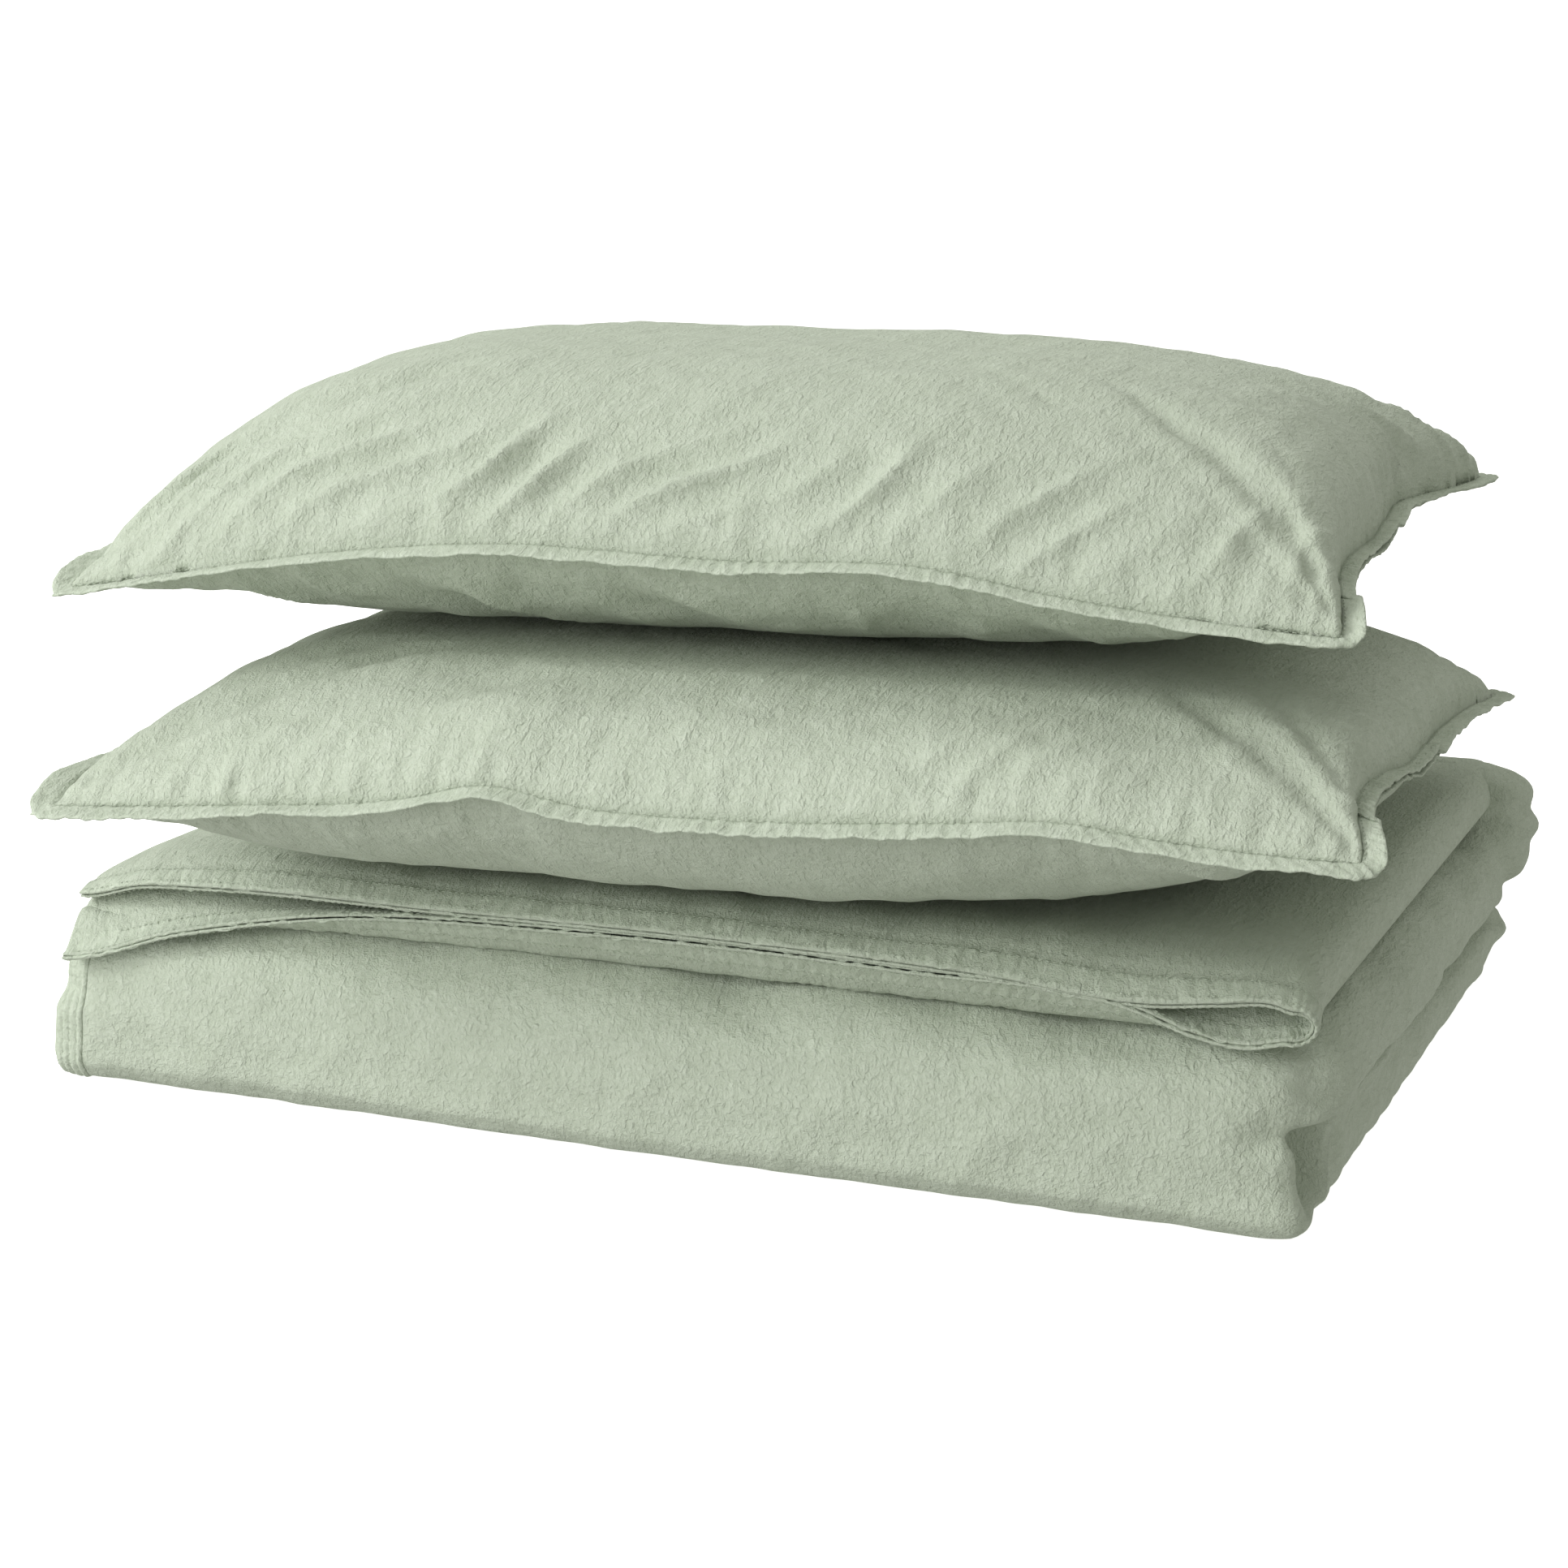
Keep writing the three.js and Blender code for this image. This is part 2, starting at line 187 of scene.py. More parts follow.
def bake(obj: bpy.types.Object) -> bpy.types.Object:
    """Applies every modifier on an object.

    Args:
        obj: The object.
    Returns:
        The same object.
    """
    bpy.context.view_layer.update()
    graph = bpy.context.evaluated_depsgraph_get()
    mesh = bpy.data.meshes.new_from_object(obj.evaluated_get(graph), depsgraph=graph)
    obj.modifiers.clear()
    obj.data = mesh
    mesh.name = obj.name
    mesh.shade_smooth()
    return obj


def grid(name: str, nu: int, nv: int, place: Callable[[Array, Array], Array]) -> bpy.types.Object:
    """A sheet: a flat grid whose points are moved to where a function of u and v puts them.

    Args:
        name: The piece's name.
        nu: Steps along u.
        nv: Steps along v.
        place: Takes u and v, each -1 to 1, and gives a row of x, y, z for each point.
    Returns:
        The sheet.
    """
    bm = bmesh.new()
    bmesh.ops.create_grid(bm, x_segments=nu, y_segments=nv, size=1)
    obj = to_object(bm, name)
    flat = points_of(obj)
    set_points(obj, place(flat[:, 0], flat[:, 1]))
    return obj


def seal(obj: bpy.types.Object) -> bpy.types.Object:
    """Makes a sheet that was rolled up into a closed tube: joins its long edges and fills its ends.

    Args:
        obj: The rolled sheet.
    Returns:
        The same object.
    """
    bm = bmesh.new()
    bm.from_mesh(obj.data)
    bmesh.ops.remove_doubles(bm, verts=bm.verts[:], dist=1e-6)
    bmesh.ops.holes_fill(bm, edges=[e for e in bm.edges if e.is_boundary])
    bmesh.ops.recalc_face_normals(bm, faces=bm.faces[:])
    bm.to_mesh(obj.data)
    bm.free()
    obj.data.shade_smooth()
    return obj


def facing(surface: Callable[[Array, Array], Array], a: Array, run: Array) -> tuple[Array, Array]:
    """Points on a panel, and which way it faces there.

    Args:
        surface: Gives a row of x, y, z for each a and run.
        a: -1 to 1 along the panel's edge.
        run: Metres in from it.
    Returns:
        The points, and unit normals that follow from a and run in that order.
    """
    at = surface(a, run)
    way = np.cross(surface(a + 1e-3, run) - at, surface(a, run + 5e-4) - at)
    return at, way / np.linalg.norm(way, axis=1, keepdims=True).clip(1e-9)


def thicken(obj: bpy.types.Object, thickness: float, offset: float = 0.0) -> bpy.types.Object:
    """Gives a sheet its thickness.

    Args:
        obj: The sheet.
        thickness: How thick it gets.
        offset: -1 to 1, which side of the sheet it lies on.
    Returns:
        The same object.
    """
    solidify = obj.modifiers.new("Solidify", "SOLIDIFY")
    solidify.thickness = thickness
    solidify.offset = offset
    return bake(obj)


def subdivide(obj: bpy.types.Object, levels: int) -> bpy.types.Object:
    """Subdivides an object smoothly and applies it."""
    step = obj.modifiers.new("Subdivision", "SUBSURF")
    step.levels = step.render_levels = levels
    return bake(obj)


def slab(bm: bmesh.types.BMesh, lo: Sequence[float], hi: Sequence[float], rounding: Sequence[float]) -> None:
    """Adds a stuffed block with its own rounding along each axis.

    Args:
        bm: Where it is added.
        lo: Its lowest corner.
        hi: Its highest corner.
        rounding: How far its edges are rounded along X, Y and Z.
    """
    block = bmesh.new()
    bmesh.ops.create_cube(block, size=2)
    bmesh.ops.subdivide_edges(block, edges=block.edges[:], cuts=15, use_grid_fill=True)
    lo_a, hi_a, r = np.array(lo), np.array(hi), np.array(rounding)
    half, middle = (hi_a - lo_a) / 2, (hi_a + lo_a) / 2
    for vert in block.verts:
        q = np.sin(np.array(vert.co) * math.pi / 2) * half
        core = np.clip(q, r - half, half - r)
        out = (q - core) / r
        length = np.linalg.norm(out)
        vert.co = Vector(middle + core + (out / length * r if length > 1e-9 else 0))
    mesh = bpy.data.meshes.new("block")
    block.to_mesh(mesh)
    block.free()
    bm.from_mesh(mesh)
    bpy.data.meshes.remove(mesh)


def fuse(name: str, bm: bmesh.types.BMesh, voxel: float) -> bpy.types.Object:
    """Joins overlapping blocks into one skin of even cells.

    Args:
        name: The skin's name.
        bm: The blocks; it is freed.
        voxel: The cells' size.
    Returns:
        The skin.
    """
    obj = to_object(bm, name)
    remesh = obj.modifiers.new("Remesh", "REMESH")
    remesh.mode = "VOXEL"
    remesh.voxel_size = voxel
    return bake(obj)


@dataclass(frozen=True)
class Relax:
    """How a piece is settled as inflated cloth. `slack` is how much larger the cloth is than the shape."""

    frames: int = 24
    pressure: float = 4.0
    slack: float = 0.04
    tension: float = 15.0
    bending: float = 0.4
    cap: float = 0.012
    mass: float = 0.3

    def run(self, obj: bpy.types.Object, pinned: Array | None = None, loose: Array | None = None) -> None:
        """Simulates the cloth and applies it.

        Args:
            obj: The piece.
            pinned: 1 where a vertex stays where it is.
            loose: 0 to 1, how much of the slack each vertex gets.
        """
        start = points_of(obj)
        cloth = obj.modifiers.new("Cloth", "CLOTH")
        settings = cloth.settings
        settings.quality = 6
        settings.mass = self.mass
        settings.tension_stiffness = settings.compression_stiffness = self.tension
        settings.shear_stiffness = self.tension / 3
        settings.bending_stiffness = self.bending
        settings.tension_damping = settings.compression_damping = 5
        settings.air_damping = 3
        settings.use_pressure = True
        settings.uniform_pressure_force = self.pressure
        settings.effector_weights.gravity = 0
        settings.shrink_min = 0 if loose is not None else -self.slack
        settings.shrink_max = -self.slack
        if loose is not None:
            group = obj.vertex_groups.new(name="loose")
            for i, weight in enumerate(loose):
                group.add([i], float(weight), "REPLACE")
            settings.vertex_group_shrink = "loose"
        if pinned is not None:
            group = obj.vertex_groups.new(name="pinned")
            group.add([int(i) for i in np.nonzero(pinned)[0]], 1.0, "REPLACE")
            settings.vertex_group_mass = "pinned"
        cloth.point_cache.frame_start = 1
        cloth.point_cache.frame_end = self.frames
        scene = bpy.context.scene
        for number in range(1, self.frames + 1):
            scene.frame_set(number)
        bake(obj)
        moved = points_of(obj) - start
        far = np.linalg.norm(moved, axis=1, keepdims=True)
        eased = self.cap * np.tanh(far / self.cap) / np.maximum(far, 1e-9)
        set_points(obj, start + moved * np.minimum(1, eased))
        scene.frame_set(1)


# ------------------------------------------------------------------ finishes
def linear(code: str) -> tuple[float, float, float, float]:
    """An sRGB hex colour, such as B9C7B3, as linear light."""
    parts = [int(code[i : i + 2], 16) / 255 for i in (0, 2, 4)]
    return tuple(c / 12.92 if c <= 0.04045 else ((c + 0.055) / 1.055) ** 2.4 for c in parts) + (1.0,)


def add(tree: bpy.types.NodeTree, kind: str, links: dict | None = None,
        **settings: object) -> bpy.types.Node:
    """Adds a node.

    Args:
        tree: The node tree.
        kind: The node's type.
        links: Input name or number to the output that feeds it, or to a value.
        settings: The node's own settings.
    Returns:
        The node.
    """
    node = tree.nodes.new(kind)
    for name, value in settings.items():
        setattr(node, name, value)
    for key, value in (links or {}).items():
        if isinstance(value, bpy.types.NodeSocket):
            tree.links.new(value, node.inputs[key])
        else:
            node.inputs[key].default_value = value
    return node


@dataclass(frozen=True)
class WashedCotton:
    """Stone-washed plain-weave cotton: the wash leaves a fine crêpe and dark neps; the crêpe's hollows are
    painted darker as shade and its ridges paler as light.
    """

    name: str = "washed_cotton"
    # light: the paler colour painted on the crinkles' ridges; deep: the painted shade in their hollows, which
    # the wash's slow clouds of tone also reach
    light: str = "BDC5B6"
    deep: str = "A9B2A0"
    nep: str = "6F7258"
    thread: float = 0.9 * MM  # drawn about twice as coarse as the yarn, which is too fine to show
    crepe: float = 2.2 * MM  # length of one crinkle
    ripple: float = 11 * MM  # the soft unevenness between crinkles
    clouds: float = 9.0  # slow changes of tone that the wash leaves, to the metre
    nep_gap: float = 9 * MM
    depth: float = 1.5 * MM  # of the crinkle
    relief: float = 1.0  # how strongly the crinkle stands out

    def build(self) -> bpy.types.Material:
        """Makes the material.

        Returns:
            The material.
        """
        material = bpy.data.materials.new(self.name)
        material.use_nodes = True
        tree = material.node_tree
        shader = tree.nodes["Principled BSDF"]
        shader.inputs["Roughness"].default_value = 0.86
        shader.inputs["Sheen Weight"].default_value = 0.18
        shader.inputs["Sheen Roughness"].default_value = 0.45
        shader.inputs["Sheen Tint"].default_value = linear("E6ECDF")
        shader.inputs["Specular IOR Level"].default_value = 0.25
        place = add(tree, "ShaderNodeTexCoord").outputs["Object"]
        slant = add(tree, "ShaderNodeMapping", {"Vector": place, "Rotation": (0.0, 0.25, -0.35),
                                                "Scale": (1.15, 0.42, 1.0)}).outputs["Vector"]
        crinkle = add(tree, "ShaderNodeTexNoise", {
            "Vector": slant, "Scale": 1 / self.crepe / 1.25, "Detail": 3.0, "Roughness": 0.55,
            "Distortion": 0.6}).outputs["Fac"]
        ripple = add(tree, "ShaderNodeTexNoise", {
            "Vector": slant, "Scale": 1 / self.ripple / 1.2, "Detail": 2.0, "Roughness": 0.5,
            "Distortion": 0.4}).outputs["Fac"]
        cloudy = add(tree, "ShaderNodeTexNoise", {
            "Vector": place, "Scale": self.clouds, "Detail": 3.0}).outputs["Fac"]
        # Painted shade: the colour goes towards deep where the crinkle and ripple sink, as they do in the bump
        # below, and towards light where they rise; only the clouds are the cloth's own slow tone
        tone = self.blend(tree, crinkle, 0.55, 0.0)
        tone = self.blend(tree, ripple, 0.25, tone)
        tone = self.blend(tree, cloudy, 0.06, tone)
        spread = add(tree, "ShaderNodeMapRange", {
            "Value": tone, "From Min": 0.20, "From Max": 0.64}).outputs["Result"]
        shade_and_tone_ramp = add(tree, "ShaderNodeMix", {"Factor": spread}, data_type="RGBA")
        shade_and_tone_ramp.inputs[6].default_value = linear(self.deep)
        shade_and_tone_ramp.inputs[7].default_value = linear(self.light)
        cells = add(tree, "ShaderNodeTexVoronoi", {
            "Vector": place, "Scale": 1 / self.nep_gap, "Randomness": 1.0})
        dot = add(tree, "ShaderNodeMapRange", {
            "Value": cells.outputs["Distance"], "From Min": 0.03, "From Max": 0.055, "To Min": 0.6,
            "To Max": 0.0}).outputs["Result"]
        pick = add(tree, "ShaderNodeSeparateColor", {"Color": cells.outputs["Color"]}).outputs[0]
        rare = add(tree, "ShaderNodeMath", {0: pick, 1: 0.55}, operation="GREATER_THAN").outputs[0]
        speck = add(tree, "ShaderNodeMath", {0: dot, 1: rare}, operation="MULTIPLY").outputs[0]
        colour = add(tree, "ShaderNodeMix", {"Factor": speck}, data_type="RGBA")
        tree.links.new(shade_and_tone_ramp.outputs[2], colour.inputs[6])
        colour.inputs[7].default_value = linear(self.nep)
        tree.links.new(colour.outputs[2], shader.inputs["Base Color"])

        weave = add(tree, "ShaderNodeTexNoise", {
            "Vector": place, "Scale": 1 / self.thread, "Detail": 1.0, "Roughness": 0.6}).outputs["Fac"]
        height = self.blend(tree, crinkle, 1.0, 0.0)
        height = self.blend(tree, ripple, 1.1, height)
        height = self.blend(tree, weave, 0.30, height)
        bump = add(tree, "ShaderNodeBump", {
            "Height": height, "Strength": self.relief, "Distance": self.depth})
        tree.links.new(bump.outputs["Normal"], shader.inputs["Normal"])
        return material

    def blend(self, tree: bpy.types.NodeTree, value: bpy.types.NodeSocket, share: float,
              rest: bpy.types.NodeSocket | float) -> bpy.types.NodeSocket:
        """A share of one pattern, added to the rest."""
        node = add(tree, "ShaderNodeMath", {0: value, 1: share, 2: rest}, operation="MULTIPLY_ADD")
        return node.outputs[0]


@dataclass(frozen=True)
class Plain:
    """A small part's finish with faint mottling, such as a moulded stud or a woven tape."""

    name: str
    colour: str
    shade: str
    roughness: float
    grain: float

    def build(self) -> bpy.types.Material:
        """Makes the material.

        Returns:
            The material.
        """
        material = bpy.data.materials.new(self.name)
        material.use_nodes = True
        tree = material.node_tree
        shader = tree.nodes["Principled BSDF"]
        shader.inputs["Roughness"].default_value = self.roughness
        place = add(tree, "ShaderNodeTexCoord").outputs["Object"]
        grain = add(tree, "ShaderNodeTexNoise", {
            "Vector": place, "Scale": 1 / self.grain, "Detail": 2.0}).outputs["Fac"]
        mix = add(tree, "ShaderNodeMix", {"Factor": grain}, data_type="RGBA")
        mix.inputs[6].default_value = linear(self.colour)
        mix.inputs[7].default_value = linear(self.shade)
        tree.links.new(mix.outputs[2], shader.inputs["Base Color"])
        bump = add(tree, "ShaderNodeBump", {"Height": grain, "Strength": 0.2, "Distance": 0.2 * MM})
        tree.links.new(bump.outputs["Normal"], shader.inputs["Normal"])
        return material


# ------------------------------------------------------------------ stitching
@dataclass(frozen=True)
class Stitching:
    """A row of topstitching in thread of the cloth's own colour."""

    length: float = 2.3 * MM
    pitch: float = 3.3 * MM
    thick: float = 0.5 * MM

    def row(self, bm: bmesh.types.BMesh, route: Array, outward: Array) -> None:
        """Sews stitches along a line.

        Args:
            bm: Where they are added.
            route: Points along the row, one a row.
            outward: The cloth's direction outwards at each point.
        """
        step = np.linalg.norm(np.diff(route, axis=0), axis=1)
        along = np.concatenate([[0], np.cumsum(step)])
        for k in range(int(along[-1] / self.pitch)):
            at = (k + 0.5) * self.pitch
            ends = [np.array([np.interp(at + s * self.length / 2, along, route[:, i]) for i in range(3)])
                    for s in (-1, 1)]
            out = Vector([np.interp(at, along, outward[:, i]) for i in range(3)]).normalized()
            run = Vector(ends[1] - ends[0])
            if run.length < 1e-6:
                continue
            side = run.cross(out).normalized()
            turn = Matrix((run.normalized(), side, out)).transposed().to_4x4()
            shape = Matrix.Diagonal((self.length / 2, self.thick / 2, self.thick / 2.4, 1))
            middle = Matrix.Translation(Vector(ends[0] + ends[1]) / 2 + out * self.thick * 0.15)
            bmesh.ops.create_icosphere(bm, subdivisions=1, radius=1, matrix=middle @ turn @ shape)


# ------------------------------------------------------------------ a pillow
@dataclass
class Pillow:
    """A stuffed pillow in its case: one skin of two panels, a sewn flange and an open end with two hems."""

    name: str
    body: Body
    turn: float  # degrees, about Z
    ears: tuple[float, float, float, float]  # heights: front left, front right, back right, back left
    above: float  # crown over the seam
    below: float  # belly under the seam
    floor: float
    ceiling: float
    front_lift: Sequence[tuple[float, float]]  # how the front seam rises, by u
    right_lift: Sequence[tuple[float, float]]
    left_lift: Sequence[tuple[float, float]]
    pull: tuple[float, float, float]  # how far the front, back and left sides draw in
    right_pull: Sequence[tuple[float, float]]  # how far the right side draws in, by v
    shape: tuple[float, ...]  # how full the left, right, front and back shoulders are, two numbers each
    tilt: float  # how much less the pillow rises towards its right
    seed: int
    front_folds: Sequence[tuple[float, float]] = ((-1, 0.5), (1, 0.5))  # how strong the folds are, by u
    right_folds: Sequence[tuple[float, float]] = ((-1, 0.5), (1, 0.5))  # the same, by v
    spread: float = 12 * MM  # how much further the left end lies out than the frame's flat case
    droop: float = 3.0 * MM
    flange: float = 12 * MM
    opening: tuple[float, float] = (-0.82, 0.15)  # where the open end starts and stops along the right side
    opening_hem: float = 9 * MM
    steps: tuple[int, int] = (116, 94)
    relax: Relax = Relax()

    def __post_init__(self) -> None:
        """Reads the pillow's place and size from the frame."""
        lo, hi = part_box(f"{self.name}_case_flange")
        self.centre = np.array([(lo.x + hi.x) / 2 - self.spread / 2, (lo.y + hi.y) / 2])
        angle = math.radians(self.turn)
        wide, deep = hi.x - lo.x, hi.y - lo.y
        c, s = math.cos(angle), math.sin(angle)
        self.half_x = (wide * c - deep * s) / (c * c - s * s) / 2 - self.flange + self.spread / 2
        self.half_y = (deep * c - wide * s) / (c * c - s * s) / 2 - self.flange
        self.spin = np.array([[c, -s], [s, c]])

    def plan(self, u: Array, v: Array, out: float | Array = 0.0) -> Array:
        """The plan of the seam and all inside it, in the row frame.

        Args:
            u: -1 to 1 across.
            v: -1 to 1 from front to back.
            out: How far outside the seam.
        Returns:
            A row of x, y for each point.
        """
        front, back, left = self.pull
        x = u * (self.half_x - np.where(u > 0, through(v, self.right_pull), left * (1 - v**2)))
        y = v * (self.half_y - np.where(v > 0, back, front) * (1 - u**2))
        corner = 1 - 0.42 * smooth(np.abs(u), 0.955, 1.0) * smooth(np.abs(v), 0.945, 1.0)
        x = x * (1 + out * corner / self.half_x)
        y = y * (1 + out * corner / self.half_y)
        return np.stack([x, y], 1) @ self.spin.T + self.centre

    def seam(self, u: Array, v: Array) -> Array:
        """The seam's height, carried on smoothly inside it.

        Args:
            u: -1 to 1 across.
            v: -1 to 1 from front to back.
        Returns:
            The height at each point.
        """
        a, b = (1 + u) / 2, (1 + v) / 2
        fl, fr, br, bl = self.ears
        z = (fl * (1 - a) + fr * a) * (1 - b) + (bl * (1 - a) + br * a) * b
        z = z + through(u, self.front_lift) * np.exp(-(1 + v) / 0.25)
        z = z + through(v, self.right_lift) * np.exp(-(1 - u) / 0.25)
        return z + through(v, self.left_lift) * np.exp(-(1 + u) / 0.25)

    def bulge(self, u: Array, v: Array) -> Array:
        """How full the pillow is, from 0 at the seam to about 1 at the crown.

        Args:
            u: -1 to 1 across.
            v: -1 to 1 from front to back.
        Returns:
            The fullness at each point.
        """
        left, left_q, right, right_q, front, front_q, back, back_q = self.shape
        x, y = np.abs(u), np.abs(v)
        across = np.where(u < 0, (1 - x**left).clip(0) ** left_q, (1 - x**right).clip(0) ** right_q)
        along = np.where(v < 0, (1 - y**front).clip(0) ** front_q, (1 - y**back).clip(0) ** back_q)
        return across * along * (1 - self.tilt * u)

    def surface(self, u: Array, v: Array, side: Array) -> Array:
        """The stuffed shape before its cloth is settled.

        Args:
            u: -1 to 1 across.
            v: -1 to 1 from front to back.
            side: 1 on the upper panel, -1 on the lower one.
        Returns:
            A row of x, y, z for each point.
        """
        bulge = self.bulge(u, v)
        xy = self.plan(u, v)
        seam = self.seam(u, v)
        belly = ((1 - np.abs(u) ** 2.9) * (1 - np.abs(v) ** 2.9)).clip(0) ** 0.6
        up = soft_min(seam + self.above * bulge, self.ceiling, 0.016)
        down = soft_max(seam - self.below * belly, self.floor, 0.016)
        z = np.where(side > 0, np.maximum(up, seam), np.minimum(down, seam))
        return np.column_stack([xy, np.where(bulge < 1e-9, seam, z)])

    def build(self, cloth: bpy.types.Material, hem: bpy.types.Material) -> list[bpy.types.Object]:
        """Makes the pillow and rides it on its body.

        Args:
            cloth: The panels' finish.
            hem: The flange's and hems' finish.
        Returns:
            The pieces.
        """
        pieces = [self.skin(cloth), self.edge(hem), *self.hems(hem), self.stitches(hem)]
        for piece in pieces:
            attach(piece, self.body.value)
        return pieces

    def skin(self, cloth: bpy.types.Material) -> bpy.types.Object:
        """The two panels over the stuffing, settled as cloth.

        Args:
            cloth: The panels' finish.
        Returns:
            The skin.
        """
        bm = bmesh.new()
        bmesh.ops.create_grid(bm, x_segments=self.steps[0], y_segments=self.steps[1], size=1)
        layers = {key: bm.verts.layers.float.new(key) for key in ("u", "v", "side")}
        twin = bmesh.ops.duplicate(bm, geom=bm.verts[:] + bm.edges[:] + bm.faces[:])["geom"]
        lower = {item for item in twin if isinstance(item, bmesh.types.BMVert)}
        bmesh.ops.reverse_faces(bm, faces=[item for item in twin if isinstance(item, bmesh.types.BMFace)])
        for vert in bm.verts:
            for key, at in (("u", vert.co.x), ("v", vert.co.y)):
                vert[layers[key]] = math.copysign(1 - (1 - abs(at)) ** 1.3, at)
            vert[layers["side"]] = -1 if vert in lower else 1
        rim = [vert for vert in bm.verts if vert.is_boundary]
        bmesh.ops.remove_doubles(bm, verts=rim, dist=1e-6)
        obj = to_object(bm, f"{self.name}_pillow_case")
        u, v, side = (read_attribute(obj, key) for key in ("u", "v", "side"))
        set_points(obj, self.surface(u, v, side))
        obj.data.update()
        edge = np.minimum(1 - np.abs(u), 1 - np.abs(v))
        flat = points_of(obj)
        drift = waves(flat, 0.085, self.seed, stretch=(1, 1, 2)) * 0.9 * MM
        drift += waves(flat, 0.04, self.seed + 1, stretch=(1, 1, 2)) * 0.4 * MM
        flat += normals_of(obj) * (drift * smooth(edge, 0, 0.15))[:, None]
        set_points(obj, flat)
        loose = 0.2 + 0.8 * np.exp(-edge / 0.2)
        self.relax.run(obj, pinned=edge < 1e-4, loose=loose)
        self.firm(obj, flat)
        subdivide(obj, 1)
        self.pucker(obj)
        self.press(obj)
        u, v = read_attribute(obj, "u"), read_attribute(obj, "v")
        rim = np.maximum(np.abs(u), np.abs(v)) > 0.9999
        p = points_of(obj)
        p[rim] = np.column_stack([self.plan(u, v), self.seam(u, v)])[rim]
        set_points(obj, p)
        obj.data.materials.clear()
        obj.data.materials.append(cloth)
        inside = ("case_top", "case_bottom", "case_inner_flap", "ticking_top", "ticking_bottom", "filling")
        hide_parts(*(f"{self.name}_{node}" for node in inside))
        return obj

    def firm(self, obj: bpy.types.Object, stuffed: Array) -> None:
        """Brings the settled cloth back to the stuffing's broad form and keeps its wrinkles.

        Args:
            obj: The settled skin.
            stuffed: Where each vertex was before it settled.
        """
        p = points_of(obj)
        away = stuffed - p
        ends = np.zeros(len(obj.data.edges) * 2, int)
        obj.data.edges.foreach_get("vertices", ends)
        a, b = ends.reshape(-1, 2).T
        count = np.maximum(np.bincount(np.concatenate([a, b]), minlength=len(p)), 1)[:, None]
        for _ in range(60):
            total = np.zeros_like(away)
            np.add.at(total, a, away[b])
            np.add.at(total, b, away[a])
            away = total / count
        set_points(obj, p + away)

    def pucker(self, obj: bpy.types.Object) -> None:
        """Folds the cloth where the seams draw it in, and gathers it beside the stitching.

        Args:
            obj: The settled skin.
        """
        u, v, side = (read_attribute(obj, key) for key in ("u", "v", "side"))
        p, n = points_of(obj), normals_of(obj)
        rise = np.abs(p[:, 2] - self.seam(u, v))
        to_right, to_side = (1 - u) * self.half_x, (1 - np.abs(u)) * self.half_x
        to_front, to_end = (1 + v) * self.half_y, (1 - np.abs(v)) * self.half_y
        relief = waves(p, 0.022, self.seed + 2, stretch=(1, 1, 1.5)) * 0.3 * MM
        relief += waves(p, 0.06, self.seed + 12) * 0.4 * MM
        relief *= smooth(np.minimum(to_side, to_end), 0, 0.02)
        drift = waves(p, 0.13, self.seed + 6) * 14 * MM
        patchy = 0.55 + 0.45 * waves(p, 0.075, self.seed + 8)
        upper = side > 0
        arc = np.hypot(to_front, rise)
        slant = np.where(upper, 0.95, 0.35)
        line = u * self.half_x - slant * arc + drift
        ridge = 1 - 2 * np.abs(np.sin(math.pi * line / np.where(upper, 0.036, 0.052))) ** 0.8
        reach = (arc / 0.016) * np.exp(1 - arc / 0.016) * 0.35 + np.exp(-(((arc - 0.045) / 0.032) ** 2))
        relief += ridge * reach * patchy * through(u, self.front_folds) * 2.4 * MM
        arc = np.hypot(to_right, rise)
        line = v * self.half_y + 0.35 * arc + drift
        ridge = 1 - 2 * np.abs(np.sin(math.pi * line / 0.027)) ** 0.7
        reach = (arc / 0.03) * np.exp(1 - arc / 0.03)
        relief += ridge * reach * patchy * through(v, self.right_folds) * 1.5 * MM
        for far, stretch, seed in ((to_end, (1, 7, 7), 3), (to_side, (7, 1, 7), 4)):
            near = np.exp(-np.hypot(far, rise * 0.5) / 0.011) * (1 - np.exp(-far / 0.002))
            relief += waves(p, 0.010, self.seed + seed, stretch=stretch) * near * 1.5 * MM
        set_points(obj, p + n * relief[:, None])

    def press(self, obj: bpy.types.Object) -> None:
        """Keeps the skin off what it lies on and what lies on it."""
        p = points_of(obj)
        p[:, 2] = np.clip(p[:, 2], self.floor, self.ceiling + (0.2 if self.body is Body.UPPER else 0))
        set_points(obj, p)

    def route(self, u: Array, opening: bool) -> tuple[Array, Array]:
        """Where a strip runs on the seam's square.

        Args:
            u: -1 to 1 along the strip.
            opening: The open end, and not the rest of the seam.
        Returns:
            The u and v of each point on the square.
        """
        start, stop = self.opening
        corners = [(1, start), (1, -1), (-1, -1), (-1, 1), (1, 1), (1, stop)]
        if opening:
            corners = [(1, start - 0.025), (1, stop + 0.025)]
        path = np.array(corners, float)
        along = np.concatenate([[0], np.cumsum(np.abs(np.diff(path, axis=0)).sum(1))])
        at = (u + 1) / 2 * along[-1]
        return np.interp(at, along, path[:, 0]), np.interp(at, along, path[:, 1])

    def strip(self, name: str, opening: bool, width: float, lift: float, thick: float,
              seed: int) -> bpy.types.Object:
        """A sewn strip outside the seam, a flattened tube with a soft, puckered edge.

        Args:
            name: The piece's name.
            opening: At the open end, and not round the rest.
            width: Its width.
            lift: How far above the seam it lies.
            thick: Its thickness.
            seed: What makes its puckers its own.
        Returns:
            The strip.
        """
        long = 150 if opening else 900

